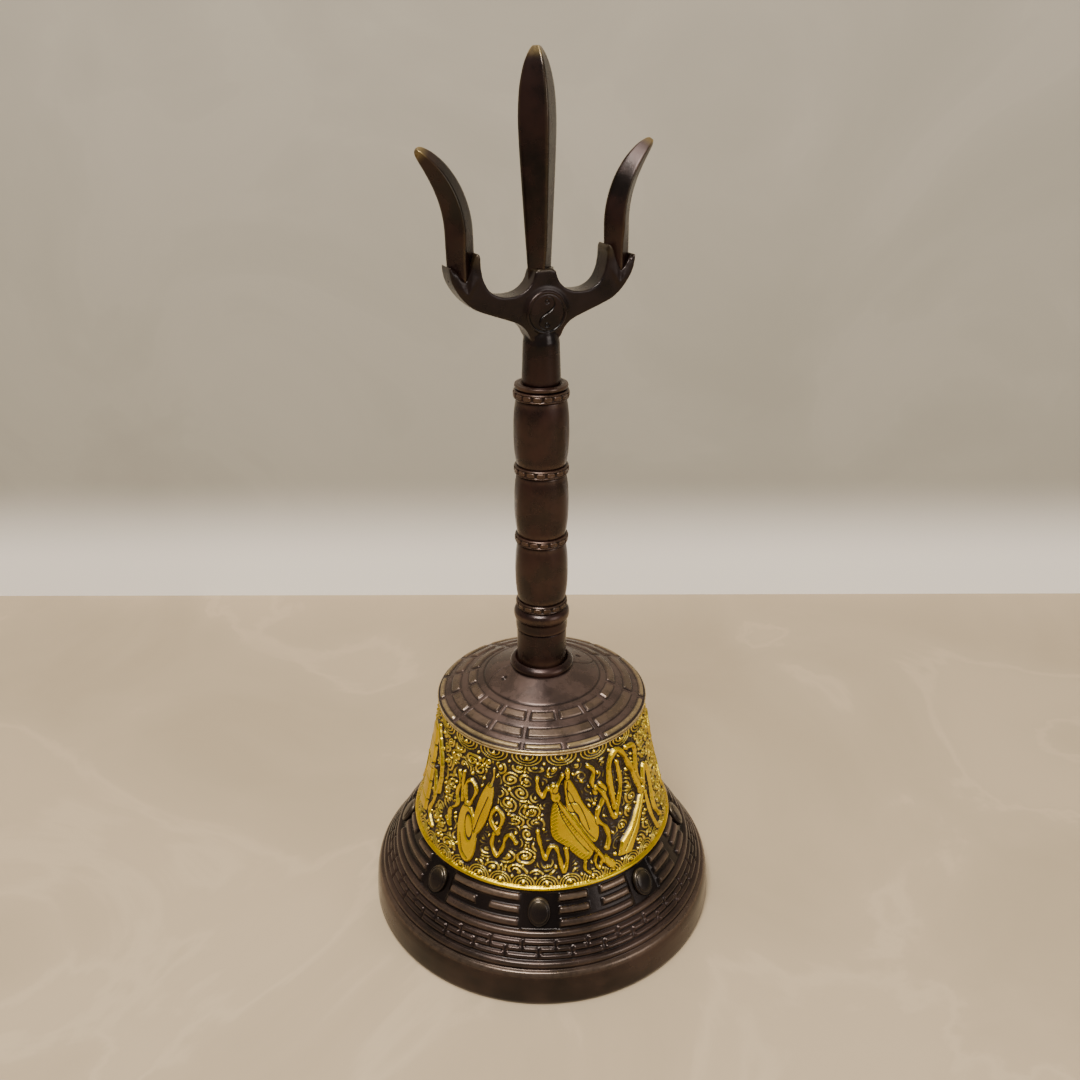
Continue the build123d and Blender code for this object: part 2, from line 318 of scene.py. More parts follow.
def grid_quads(rows, columns, rows_close=False, columns_close=True):
    """Quads over a grid of points, joined past its last row or column where it closes."""
    i = np.arange(rows if rows_close else rows - 1)[:, None]
    j = np.arange(columns if columns_close else columns - 1)[None, :]
    i2, j2 = (i + 1) % rows, (j + 1) % columns
    corners = (i * columns + j, i * columns + j2, i2 * columns + j2, i2 * columns + j)
    return np.stack(corners, axis=-1).reshape(-1, 4)


def turned_grid(profile, turns, relief=0.0, closes=True):
    """Vertices and quads of a closed (r, z) profile swept round Z, its relief raised along the normal.

    The profile runs anticlockwise seen with r to the right and z up, so that its normal points outward.
    """
    profile = np.asarray(profile, float)
    lift = np.broadcast_to(relief, (len(profile), len(turns)))
    ahead = np.roll(profile, -1, axis=0) - np.roll(profile, 1, axis=0)
    normal = np.stack([ahead[:, 1], -ahead[:, 0]], axis=1)
    normal /= np.linalg.norm(normal, axis=1)[:, None] + 1e-12
    angle = np.radians(turns)
    r = profile[:, :1] + lift * normal[:, :1]
    z = profile[:, 1:] + lift * normal[:, 1:]
    verts = np.stack([r * np.cos(angle), r * np.sin(angle), z], axis=-1).reshape(-1, 3)
    return verts, grid_quads(*lift.shape, True, closes)


def turned_piece(name, node, material, profile, relief, wear_and_highlight, shade=None, turns=None):
    """A turned piece, of a whole turn unless turns are given. shade is the relief that the colour
    reads, where that isn't the relief of the shape."""
    whole = turns is None
    verts, quads = turned_grid(profile, full_turn(relief.shape[1]) if whole else turns, relief, whole)
    shade = relief if shade is None else shade
    return bell_piece(name, quad_mesh(name, verts, quads), node, material, shade, wear_and_highlight)


def deepened(relief, factor):
    """Relief whose low places count for more in the colour than in the shape."""
    return np.where(relief < 0, relief * factor, relief)


# --- Materials -------------------------------------------------------------------------------------
class Nodes:
    """A few short words for building a node tree."""

    def __init__(self, name):
        self.material = bpy.data.materials.new(name)
        self.material.use_nodes = True
        self.tree = self.material.node_tree
        self.shader = self.tree.nodes["Principled BSDF"]

    def add(self, kind, **settings):
        node = self.tree.nodes.new(kind)
        for key, value in settings.items():
            if key in node.inputs:
                node.inputs[key].default_value = value
            else:
                setattr(node, key, value)
        return node

    def link(self, out, into):
        self.tree.links.new(out, into)

    def noise(self, scale, detail, roughness=0.55, distortion=0.0):
        coord = self.add("ShaderNodeTexCoord")
        node = self.add("ShaderNodeTexNoise", Scale=scale, Detail=detail, Roughness=roughness,
                        Distortion=distortion)
        self.link(coord.outputs["Object"], node.inputs["Vector"])
        return node.outputs["Fac"]

    def attribute(self, name):
        return self.add("ShaderNodeAttribute", attribute_name=name).outputs["Fac"]

    def spread(self, value, low, high, to_low=0.0, to_high=1.0):
        node = self.add("ShaderNodeMapRange", interpolation_type="SMOOTHSTEP")
        for key, number in (("From Min", low), ("From Max", high), ("To Min", to_low), ("To Max", to_high)):
            node.inputs[key].default_value = number
        self.link(value, node.inputs["Value"])
        return node.outputs["Result"]

    def math(self, operation, a, b):
        node = self.add("ShaderNodeMath", operation=operation)
        for socket, value in zip(node.inputs, (a, b)):
            if isinstance(value, (int, float)):
                socket.default_value = value
            else:
                self.link(value, socket)
        return node.outputs[0]

    def mix(self, share, a, b):
        node = self.add("ShaderNodeMix", data_type="RGBA")
        for key, value in (("Factor", share), ("A", a), ("B", b)):
            socket = next(s for s in node.inputs if s.name == key and s.enabled)
            if isinstance(value, tuple):
                socket.default_value = (*value, 1)
            else:
                self.link(value, socket)
        return next(s for s in node.outputs if s.enabled)

    def finish(self, colour, metal, rough):
        """Joins up the shader. metal and rough are a number for the whole surface or a node's output."""
        self.link(colour, self.shader.inputs["Base Color"])
        for key, value in (("Metallic", metal), ("Roughness", rough)):
            if isinstance(value, float):
                self.shader.inputs[key].default_value = value
            else:
                self.link(value, self.shader.inputs[key])
        return self.material

    def bump(self, height, strength, distance):
        node = self.add("ShaderNodeBump", Strength=strength, Distance=distance)
        self.link(height, node.inputs["Height"])
        self.link(node.outputs["Normal"], self.shader.inputs["Normal"])


def bronze(name, deep, face, worn_and_highlight, metal, rough, patch=60.0):
    """Patinated bronze: patina and painted shade in hollows, brown faces, wear and painted highlights bright.
    """
    n = Nodes(name)
    broad = n.noise(patch, 6.0)
    fine = n.noise(900.0, 3.0)
    colour = n.mix(n.spread(broad, 0.36, 0.64), deep, face)
    # the wear attribute holds rubbed wear and painted highlights alike, both lightened towards the same
    # colour
    rub = n.math("MULTIPLY", n.attribute("wear_and_highlight"), n.spread(fine, 0.3, 0.6, 0.55, 1.0))
    colour = n.mix(rub, colour, worn_and_highlight)
    # low relief is darkened: patina in the hollows and painted shade where shade would fall
    hollow = n.spread(n.attribute("relief"), -0.05, -0.45, 0.0, 0.75)
    colour = n.mix(hollow, colour, tuple(c * 0.3 for c in deep))
    n.bump(n.math("ADD", fine, n.noise(260.0, 2.0)), 0.18, 0.00012)
    return n.finish(colour, metal, n.spread(broad, 0.3, 0.7, rough - 0.06, rough + 0.1))


def gilt(name):
    """Gilt relief: bright yellow gold on what stands proud, dark brown left in the recesses."""
    n = Nodes(name)
    height = n.attribute("relief")
    fine = n.noise(700.0, 3.0)
    broad = n.noise(110.0, 3.0)
    gold = n.mix(n.spread(broad, 0.35, 0.65), (0.66, 0.455, 0.002), (0.78, 0.555, 0.005))
    pale = n.mix(n.attribute("wear_and_highlight"), gold, (0.76, 0.57, 0.12))
    wobble = n.math("MULTIPLY", n.math("SUBTRACT", fine, 0.5), 0.22)
    cover = n.spread(n.math("ADD", height, wobble), 0.2, 0.5)
    colour = n.mix(cover, (0.022, 0.012, 0.007), pale)
    n.bump(fine, 0.2, 0.0001)
    return n.finish(colour, n.spread(height, 0.15, 0.6, 0.3, 1.0), n.spread(fine, 0.3, 0.7, 0.26, 0.42))


def plain_metal(name, low, high, rough, grain):
    """Bare metal with a fine grain between two tones."""
    n = Nodes(name)
    fine = n.noise(grain, 4.0)
    n.bump(fine, 0.15, 0.0001)
    return n.finish(n.mix(n.spread(fine, 0.35, 0.65), low, high), 1.0,
                    n.spread(fine, 0.3, 0.7, rough - 0.05, rough + 0.1))


CASTING = bronze("casting_bronze", (0.0145, 0.009, 0.0075), (0.0445, 0.0258, 0.0207),
                 (0.34, 0.24, 0.16), 0.6, 0.21)
SHOULDER = bronze("shoulder_bronze", (0.058, 0.038, 0.032), (0.100, 0.064, 0.053),
                  (0.58, 0.43, 0.19), 0.6, 0.26, 190.0)
GRIP = bronze("grip_bronze", (0.0105, 0.0042, 0.0036), (0.028, 0.0098, 0.0074),
              (0.20, 0.12, 0.07), 0.5, 0.27, 150.0)
BLADES = bronze("trident_bronze", (0.0085, 0.0052, 0.0042), (0.024, 0.0095, 0.0066),
                (0.46, 0.33, 0.13), 0.5, 0.25, 110.0)
STUDS = bronze("stud_bronze", (0.007, 0.0048, 0.0038), (0.020, 0.012, 0.009), (0.26, 0.19, 0.09), 0.5, 0.24)
GILT = gilt("gilt_relief")
STEEL = plain_metal("zinc_steel", (0.30, 0.30, 0.29), (0.46, 0.45, 0.43), 0.38, 800.0)
BRASS = plain_metal("dull_brass", (0.30, 0.19, 0.07), (0.45, 0.31, 0.13), 0.40, 500.0)

# --- Skirt and lip of the casting ------------------------------------------------------------------
# (bottom, middle, top) line of each trigram, 1 whole and 0 broken, in order round the bell:
# water, wind, heaven, lake, fire, thunder, earth, mountain
TRIGRAMS = np.array([(0, 1, 0), (0, 1, 1), (1, 1, 1), (1, 1, 0), (1, 0, 1), (1, 0, 0), (0, 0, 0), (0, 0, 1)])
SKIRT_COLUMNS = 736
SKIRT_MIDDLE_R = 41.0
FRET_COUNT = 32         # periods of the key pattern round the skirt
# Where things lie up the skirt's cone, as shares from the lip's groove (0) to the gilt foot (1)
BEAD_A = (0.005, 0.100)
FRET = (0.114, 0.384)
BEAD_B = (0.402, 0.492)
BARS = ((0.53, 0.635), (0.70, 0.80), (0.862, 0.965))
PANEL = (0.505, 0.985)
STUD_SHARE = 0.735
STUD_SINK = 0.95        # how far inside the cone a stud's foot lies
STUD_HALF = (2.95, 3.6)                 # half width and half height
# Degrees from a stud's middle to its panel's side and to the bars, and half the gap in a broken bar
PANEL_SIDE, BAR_END, BAR_GAP = 7.0, 7.5, 2.6
# The lip's outline as (inward from the mouth's radius, z)
LIP_OUTLINE = ((4.3, 0.25), (4.0, 0.0), (0.9, 0.0), (0.3, 0.25), (0.0, 0.95), (0.12, 3.0), (0.42, 6.2),
               (0.62, 7.4), (0.95, 8.5), (1.35, 9.15), (1.85, 9.45), (2.2, 9.35))
CONE_RUN, CONE_HEIGHT = LIP_TOP_R - SKIRT_TOP_R, SKIRT_TOP_Z - LIP_TOP_Z
CONE_SLANT = math.hypot(CONE_RUN, CONE_HEIGHT)
CONE_FLOOR = 0.55       # the relief stands up from a floor this far inside the cone
LIP_LINE_Z = 8.9        # the lighter line round the top of the lip, painted as wear and as a highlight


def on_cone(share, inward):
    """(r, z) of a place share of the way up the skirt's cone, and inward of it along its normal."""
    return (LIP_TOP_R - CONE_RUN * share - inward * CONE_HEIGHT / CONE_SLANT,
            LIP_TOP_Z + CONE_HEIGHT * share - inward * CONE_RUN / CONE_SLANT)


def key_grooves(share, angle, arc):
    """Distance to the key pattern: T grooves on the lower border, and hanging ones between them."""
    low, high = FRET
    period = 360.0 / FRET_COUNT
    phase = ((angle - STUD_PHASE) / period) % 1.0
    hanging = (phase - 0.5) * period * arc
    standing = (phase * period - period * (phase > 0.5)) * arc
    y = (share - low) * CONE_SLANT
    level_1, level_2, level_3 = ((high - low) / 3 * n * CONE_SLANT for n in (1, 2, 3))
    half_bar = 0.40 * period * arc
    border = least(np.abs(share - low), np.abs(share - high)) * CONE_SLANT
    return least(
        segment_distance(standing, y, (0, -0.4), (0, level_2)),
        segment_distance(standing, y, (-half_bar, level_2), (half_bar, level_2)),
        segment_distance(hanging, y, (0, level_1), (0, level_3 + 0.4)),
        segment_distance(hanging, y, (-half_bar, level_1), (half_bar, level_1)),
        border + 0.02
    )


def skirt_relief(share, angle):
    """Relief in millimetres over the skirt's cone. share runs up the cone and angle is in degrees."""
    arc = np.radians(1.0) * SKIRT_MIDDLE_R
    field = (share > FRET[0] - 0.01) & (share < FRET[1] + 0.01)
    slope = 1 - np.clip((key_grooves(share, angle, arc) - 0.2) / 0.5, 0, 1)
    lift = 0.55 * round_bar(share, *BEAD_A) + 0.6 * round_bar(share, *BEAD_B)
    lift = lift + np.where(field, 0.62 * np.sqrt(1 - slope**2) - 0.16, 0)
    # trigram bars between the studs, and the sunk panels behind the studs
    sector, local = sectors(angle, STUD_PHASE)
    side = np.where(local >= 0, local, local + SECTOR)
    slot = np.where(local >= 0, sector, sector - 1) % len(TRIGRAMS)
    in_zone = (share > PANEL[0]) & (share < PANEL[1])
    lift += np.where(in_zone, -0.15, 0)
    edge = least(side - BAR_END, SECTOR - BAR_END - side) * arc
    gap = (np.abs(side - SECTOR / 2) - BAR_GAP) * arc
    for line, (bottom, top) in enumerate(BARS):
        clear = np.where(TRIGRAMS[slot, line] == 1, edge, least(edge, gap))
        rib = round_bar(share, bottom, top) ** 0.7
        lift += np.where((share > bottom) & (share < top), 0.75 * rib * ease(clear / 0.45), 0)
    panel_edge = (PANEL_SIDE - least(side, SECTOR - side)) * arc
    lift += np.where(in_zone, -0.3 * ease(panel_edge / 0.3), 0)
    return lift


def build_skirt():
    levels = np.linspace(0, 1, 82)
    cone = [on_cone(share, CONE_FLOOR) for share in levels]
    lip = resample([(MOUTH_R - inward, z) for inward, z in LIP_OUTLINE], 0.6)
    head = [(SKIRT_TOP_R - 0.9, SKIRT_TOP_Z + 0.15), (SKIRT_TOP_R - 2.0, SKIRT_TOP_Z + 0.6)]
    across = WALL * CONE_SLANT / CONE_HEIGHT
    wall_in = [(SKIRT_TOP_R - across, SKIRT_TOP_Z + 0.6), (LIP_TOP_R - across, LIP_TOP_Z), lip[0]]
    profile = np.array([*lip, *cone, *head, *resample(wall_in, 1.6)[:-1]])
    share = np.full((len(profile), 1), -1.0)
    rows = slice(len(lip), len(lip) + len(cone))
    share[rows, 0] = levels
    relief = np.zeros((len(profile), SKIRT_COLUMNS))
    relief[rows] = skirt_relief(share[rows], full_turn(SKIRT_COLUMNS)[None, :])
    wear_and_highlight = np.zeros_like(relief)
    # raised ribs are painted lighter, more so towards the gilt: wear on the ribs and painted highlights along
    # them
    wear_and_highlight[rows] = ease((relief[rows] - 0.35) / 0.4) * (0.2 + 0.34 * ease((share[rows] - 0.6) / 0.3))
    # a lighter line round the lip's rounded top: wear and a painted highlight
    lip_wear_and_highlight = 0.25 * hump(lip[:, 1] - LIP_LINE_Z, 0.5) * (lip[:, 0] > MOUTH_R - 2.5)
    wear_and_highlight[:len(lip)] = lip_wear_and_highlight[:, None]
    # painted shade: low places among the trigram bars and in the stud panels are darkened as if in shadow
    shaded_between_bars = (share > PANEL[0]) & (relief < 0.3)
    shade = deepened(np.where(shaded_between_bars, relief - 0.3, relief), 2.6)
    turned_piece("casting_skirt", "bell_shell", CASTING, profile, relief, wear_and_highlight, shade)


# --- Studs -----------------------------------------------------------------------------------------
def build_studs():
    """Eight oval cabochons, each with a fine engraved line inside its edge."""
    r, z = on_cone(STUD_SHARE, STUD_SINK)
    rings, around = 26, 64
    turns = np.radians(full_turn(around))
    out_share = (1 - np.arange(rings + 1) / (rings + 1))[:, None]
    groove = hump(out_share - 0.78, 0.045)
    dome = 0.35 + np.sqrt(np.clip(1 - out_share**3.4, 0, None)) - 0.16 * groove
    # painted highlight: the upper edge of each stud is painted lighter, as if lit from above
    wear_and_highlight = 0.4 * np.clip(np.sin(turns), 0, None) ** 2 * out_share**2
    relief = np.broadcast_to(-0.35 * groove, wear_and_highlight.shape).copy()
    dome[0], wear_and_highlight[0], relief[0] = -0.3, 0.0, -0.4           # the outermost ring is sunk into the cone
    last, tip, foot = rings * around, (rings + 1) * around, (rings + 1) * around + 1
    ahead = [(j, (j + 1) % around) for j in range(around)]
    faces = [*grid_quads(rings + 1, around), *((last + j, last + j2, tip) for j, j2 in ahead),
             *((j2, j, foot) for j, j2 in ahead)]
    for index in range(8):
        turn = math.radians(STUD_PHASE + index * SECTOR)
        out = np.array([math.cos(turn) * CONE_HEIGHT, math.sin(turn) * CONE_HEIGHT, CONE_RUN]) / CONE_SLANT
        along = np.array([-math.sin(turn), math.cos(turn), 0])
        up = np.cross(out, along)
        centre = np.array([r * math.cos(turn), r * math.sin(turn), z])
        verts = centre + (along * (STUD_HALF[0] * out_share * np.cos(turns))[..., None]
                          + up * (STUD_HALF[1] * out_share * np.sin(turns))[..., None]
                          + out * dome[..., None])
        name = f"skirt_stud_{index + 1}"
        mesh = closed_mesh(name, [*verts.reshape(-1, 3), centre + out * 1.35, centre - out * 0.3], faces)
        bell_piece(name, mesh, "skirt_studs", STUDS, [*relief.ravel(), 0.0, 0.0], [*wear_and_highlight.ravel(), 0.1, 0.0])


build_skirt()
build_studs()

# --- Shoulder, crown and waist wall of the casting -------------------------------------------------
SHOULDER_COLUMNS = 640
SHOULDER_PHASE = from_camera(11.8)      # middle of the first trigram
BLOCK_ROWS = ((16.9, 18.8), (21.2, 23.3), (25.25, 26.4))
DISC_R = 15.0
EYE_R = 10.9                            # the eyes of the taiji lie this far from the axis
TAIJI_TURN = from_camera(-61.0)         # and on this line through it
DOME_FOOT_R = 26.6
WAIST_Z = 43.5                          # where the arcs of the waist are given a middle point


def taiji_groove(r, angle, disc_r, turn, swing):
    """Distance in millimetres to the S line of a taiji sign, in polar coordinates."""
    bend = swing * half_round(r, disc_r)
    offs = ((angle - (turn + half - bend) + 180.0) % 360.0 - 180.0 for half in (0.0, 180.0))
    return least(*(np.abs(np.radians(off)) * r for off in offs)) + np.clip(r - disc_r, 0, None)


def eye_distance(r, angle, eye_r, eye_angle):
    """Distance from one eye of the sign, in the same coordinates."""
    turn, eye = np.radians(angle), math.radians(eye_angle)
    return np.hypot(r * np.cos(turn) - eye_r * math.cos(eye), r * np.sin(turn) - eye_r * math.sin(eye))


def dome_relief(r, angle):
    """Relief over the shoulder's dome: three rows of blocks, and the taiji disc with its rim groove."""
    lift = np.zeros(np.broadcast(r, angle).shape)
    sector, local = sectors(angle, SHOULDER_PHASE)
    slot = sector % len(TRIGRAMS)
    arc = np.radians(1.0) * r
    side = SECTOR / 2 * arc - 0.85 - np.abs(local) * arc
    gap = np.abs(local) * arc - 0.8
    for line, (low, high) in enumerate(BLOCK_ROWS):
        clear = least(np.where(TRIGRAMS[slot, line] == 1, side, least(side, gap)), r - low, high - r)
        lift += 0.36 * ease((clear + 0.05) / 0.22)
        lift -= 0.16 * ease((clear + 0.42) / 0.2) * (clear < 0.05)
    lift -= 0.24 * hump(r - DISC_R, 0.2)
    line = taiji_groove(r, angle, DISC_R, TAIJI_TURN, 30.0)
    lift -= 0.16 * hump(line, 0.18) * (r < DISC_R - 0.3)
    for half in (0.0, 180.0):
        eye = eye_distance(r, angle, EYE_R, TAIJI_TURN + half)
        lift -= 0.36 * ease((0.85 - eye) / 0.35)
        lift += 0.30 * ease((0.42 - eye) / 0.3)
    return lift


def build_shoulder():
    seat = arc_through((32.4, SKIRT_TOP_Z + 0.9), (28.0, WAIST_Z), (25.3, SHOULDER_Z - 1.0), 16)
    rim = resample(raised(SHOULDER_Z, ((26.3, -1.15), (26.85, -0.95), (26.95, -0.65), (26.6, -0.42),
                                       (26.55, -0.3), (27.0, -0.1), (27.05, 0.18), (26.8, 0.42))), 0.2)
    climb = (DOME_TOP_Z - SHOULDER_Z - 0.5) / (DOME_FOOT_R - DOME_TOP_R)
    dome = [(r, SHOULDER_Z + 0.5 + (DOME_FOOT_R - r) * climb)
            for r in np.linspace(DOME_FOOT_R, DOME_TOP_R - 1.0, 92)]
    haunch = (SHOULDER_R - 4.0, SHOULDER_Z - 4.4)
    crown_in = [(BORE_R, DOME_TOP_Z + 0.3), (BORE_R, CROWN_Z), (9.0, CROWN_Z), (16.0, 60.2), haunch]
    wall_in = arc_through(haunch, (25.9, WAIST_Z), (SKIRT_TOP_R - 3.58, SKIRT_TOP_Z + 0.7), 18)[1:]
    profile = np.array([*seat, *rim, *dome, *resample(crown_in, 1.5), *wall_in])
    first = len(seat) + len(rim)
    rows = slice(first, first + len(dome))
    relief = np.zeros((len(profile), SHOULDER_COLUMNS))
    relief[rows] = dome_relief(profile[rows, :1], full_turn(SHOULDER_COLUMNS)[None, :])
    wear_and_highlight = np.zeros_like(relief)
    wear_and_highlight[rows] = ease((relief[rows] - 0.12) / 0.2) * (0.07 + 0.36 * (profile[rows, :1] > 25))
    wear_and_highlight[len(seat):first - 1] = 0.9
    shade = relief.copy()
    shade[first - 1:first + 1] = -0.16          # a darker line painted between the rim and the outer blocks
    turned_piece("casting_shoulder", "bell_shell", SHOULDER, profile, relief, wear_and_highlight, deepened(shade, 3.0))


build_shoulder()

# --- Gilt relief round the waist -------------------------------------------------------------------
BAND_COLUMNS = 1100
BAND_ROWS = 164
BAND_SEAM = from_camera(37.0)           # the mould's parting line, which splits the relief in two halves
BAND_FOOT = (SKIRT_TOP_R - 1.1, SKIRT_TOP_Z + 0.9)
BAND_MID = (28.95, WAIST_Z)
BAND_HEAD = (26.2, SHOULDER_Z - 1.3)
SCROLL_PITCH = 4.4                      # from one cloud scroll to the next along a row
SCROLL_ROW = 3.3                        # and from row to row
SCROLL_TURN = 1.12                      # from one ring of its spiral to the next
PEARL_R = 0.52                          # of the pearl in its middle
LOOSE_PEARLS = 520


class Chart:
    """The band unrolled: x in millimetres to the right of a place's angle, z up the bell, with its relief.

    place is the (angle, z) that ribbons, plates and windows lie round. clear is the distance to the
    nearest emblem, and dirt is how much old patina lies there.
    """

    def __init__(self, profile):
        shape = (len(profile), BAND_COLUMNS)
        self.profile = profile
        self.angle = BAND_SEAM + full_turn(BAND_COLUMNS)
        self.z = profile[:, 1]
        self.lift = np.zeros(shape)
        self.clear = np.full(shape, 9.0)
        self.dirt = np.zeros(shape)
        self.place = (0.0, 0.0)

    def window(self, reach):
        """Rows and columns of the part of the chart within reach of the place, and its local x and z."""
        angle, z = self.place
        rows = np.where(np.abs(self.z - z) < reach)[0]
        off = (self.angle - angle + 180.0) % 360.0 - 180.0
        scale = math.radians(1.0) * float(np.interp(z, self.z, self.profile[:, 0]))
        cols = np.where(np.abs(off) * scale < reach)[0]
        x, y = np.meshgrid(off[cols] * scale, self.z[rows] - z)
        return np.ix_(rows, cols), x, y

    def raise_to(self, where, height):
        self.lift[where] = np.maximum(self.lift[where], height)

    def soil(self, where, amount):
        self.dirt[where] = np.maximum(self.dirt[where], amount)

    def contour(self, where, gap):
        """Dark patina left all round a raised shape, and none on it."""
        self.soil(where, hump(gap - 0.22, 0.16))
        self.dirt[where] = np.where(gap < 0, 0.0, self.dirt[where])
        self.clear[where] = np.minimum(self.clear[where], gap)

    def ribbon(self, points, width=0.40, height=0.95):
        """A raised ribbon that swells and thins along a curve of (x, z) points."""
        line = smooth_line(points, 5)
        where, x, y = self.window(max(np.hypot(*p) for p in line) + 1.5)
        halves = (width * (0.72 + 0.5 * math.sin(k * 0.55) ** 2) for k in range(len(line)))
        stretches = (segment_distance(x, y, a, b) - half for a, b, half in zip(line[:-1], line[1:], halves))
        knobs = (np.hypot(x - end[0], y - end[1]) - 1.35 * width for end in (line[0], line[-1]))
        gap = least(*stretches, *knobs)
        self.contour(where, gap)
        self.raise_to(where, height * ease(0.5 - gap / 0.36))

    def plate(self, distance_of, reach, height=1.05, edge=0.4, line_depth=0.0):
        """A flat raised plate whose signed distance is a function of local x and z, with a line cut
        inside its edge if a depth is given. Gives back its window."""
        where, x, y = self.window(reach)
        gap = distance_of(x, y)
        top = height * ease(-gap / edge + 0.5)
        hidden = self.lift[where] > top + 0.02
        kept = self.dirt[where].copy()
        self.contour(where, gap)
        self.dirt[where] = np.where(hidden, kept, self.dirt[where])
        self.raise_to(where, top)
        if line_depth:
            cut = hump(gap + 0.7, 0.15) * (gap < 0) * ~hidden
            self.lift[where] -= line_depth * cut
            self.soil(where, 0.8 * cut)
        return where, x, y

    def engrave(self, where, distance, depth=0.3, width=0.17):
        """A fine line cut where a distance is 0 into what already stands there, dark with old patina."""
        cut = hump(distance, width) * (self.lift[where] > 0.5)
        self.lift[where] -= depth * cut
        self.soil(where, cut)

    def score(self, window, points, depth=0.3):
        """The same along a smooth curve through a few (x, z) points."""
        where, x, y = window
        self.engrave(where, line_distance(x, y, smooth_line(points)), depth)


def castanets(chart):
    """Two long oval clappers, one lying over the other, tied with ribbon loops."""
    chart.plate(oval((2.7, 4.4), (1.9, 7.7), 13), 14, 0.9)
    window = where, x, y = chart.plate(oval((-1.2, -3.4), (2.75, 7.5), -8), 14, 1.1)
    chart.engrave(where, np.abs(oval((-0.7, -1.4), (1.1, 3.3), -9)(x, y)))
    chart.score(window, [(0.9, -2.2), (1.9, 2.0), (3.9, 8.0)])
    chart.score(window, [(-2.9, -4.2), (-1.6, -8.0), (0.2, -9.6)], 0.2)
    chart.ribbon([(-2.5, 4.0), (-3.4, 8.2), (-1.8, 10.4), (0.2, 8.3), (-1.4, 4.2)])
    chart.ribbon([(-6.2, 10.9), (-5.2, 8.6), (-6.1, 5.4), (-5.4, 2.2), (-7.7, -0.6), (-6.9, -4.3),
                  (-8.3, -3.0)])
    chart.ribbon([(-4.4, 11.6), (-4.4, 8.0), (-3.9, 4.0)], 0.32)
    chart.ribbon([(7.1, -0.8), (5.0, 2.2), (6.2, 5.4), (8.2, 3.4), (7.0, -0.6)], 0.46)
    chart.ribbon([(6.2, -1.2), (5.9, -4.0), (7.4, -6.6), (8.6, -4.4), (9.2, -1.6), (10.4, -0.6),
                  (11.8, -2.4)])
    chart.ribbon([(4.4, 11.2), (5.0, 13.6), (4.9, 15.6)], 0.25, 0.7)


def palm_fan(chart):
    """A palm-leaf fan in two lobes with a ribbed hem, its handle lying across it from corner to corner."""
    lobe = polygon(smooth_ring([(-0.6, 9.4), (0.4, 11.2), (2.4, 8.2), (4.2, 3.8), (7.0, -1.0), (7.6, -4.4),
                                (6.2, -7.0), (2.6, -4.0), (-0.4, 2.6)]))
    wing = polygon(smooth_ring([(-2.3, 5.4), (-3.9, 3.0), (-3.9, -3.4), (-0.8, -6.4), (3.2, -10.8),
                                (5.4, -9.6), (5.6, -6.4), (1.6, -1.0)]))
    chart.plate(lobe, 15, 1.0)
    window = where, x, y = chart.plate(wing, 15, 1.1)
    wing_gap = wing(x, y)
    hem = np.clip(np.sin((x * 0.55 - y * 1.0) * 7.0) - 0.2, 0, 1)
    near_hem = ease((wing_gap + 1.7) / 0.3) * (wing_gap < -0.15) * ease((1.0 - x - 0.5 * y) / 1.0)
    chart.lift[where] -= 0.25 * hem * near_hem
    chart.soil(where, 0.8 * hem * near_hem)
    for rib in (
        [(-2.4, 5.6), (-1.4, 1.2), (2.0, -5.2), (4.6, -9.0)],
        [(0.3, 10.2), (0.2, 6.4), (2.0, 1.6), (4.4, -3.4), (6.2, -6.0)],
        [(0.4, 4.6), (2.6, 4.2), (4.2, 0.6), (5.2, -3.4)],
        [(0.0, 8.4), (1.2, 6.6), (2.0, 4.4)],
        [(0.2, 2.4), (2.4, 1.4), (3.0, -1.0)],
    ):
        chart.score(window, rib)
    # the handle with its knobs and tassels
    chart.ribbon([(-2.6, 6.2), (2.6, -2.6), (8.4, -12.6)], 0.44, 1.5)
    chart.ribbon([(8.2, -12.0), (9.6, -13.8)], 0.7, 1.5)
    chart.ribbon([(0.3, 11.6), (0.5, 13.0)], 0.45, 1.2)
    chart.ribbon([(-2.8, 6.6), (-3.2, 8.8)], 0.9, 1.35)
    chart.ribbon([(-2.9, 8.4), (-4.8, 8.8), (-6.0, 6.8), (-7.2, 8.6), (-7.4, 11.4)], 0.42, 1.2)
    chart.ribbon([(-2.9, 8.6), (-1.9, 10.2), (-0.9, 12.0)], 0.36, 1.1)
    # loose ribbons on each side
    chart.ribbon([(-7.2, -2.4), (-6.6, -5.6), (-5.4, -9.4), (-4.4, -6.6), (-3.0, -6.6), (-2.2, -9.4),
                  (-1.5, -12.9), (-0.5, -10.2), (-0.7, -7.2)])
    chart.ribbon([(6.0, 13.2), (7.6, 11.4), (6.9, 8.6), (7.6, 5.6)], 0.46)
    chart.ribbon([(9.2, 7.4), (10.4, 5.4), (9.2, 2.4), (7.9, 0.6), (7.6, -1.8), (9.6, -4.4), (10.0, -7.4),
                  (9.2, -9.6)], 0.5)
    chart.ribbon([(3.6, -11.2), (3.4, -13.2), (4.4, -14.4)], 0.3)
    chart.ribbon([(6.8, -9.4), (5.9, -11.8), (6.6, -14.0), (7.4, -12.2), (6.9, -9.8)], 0.26)


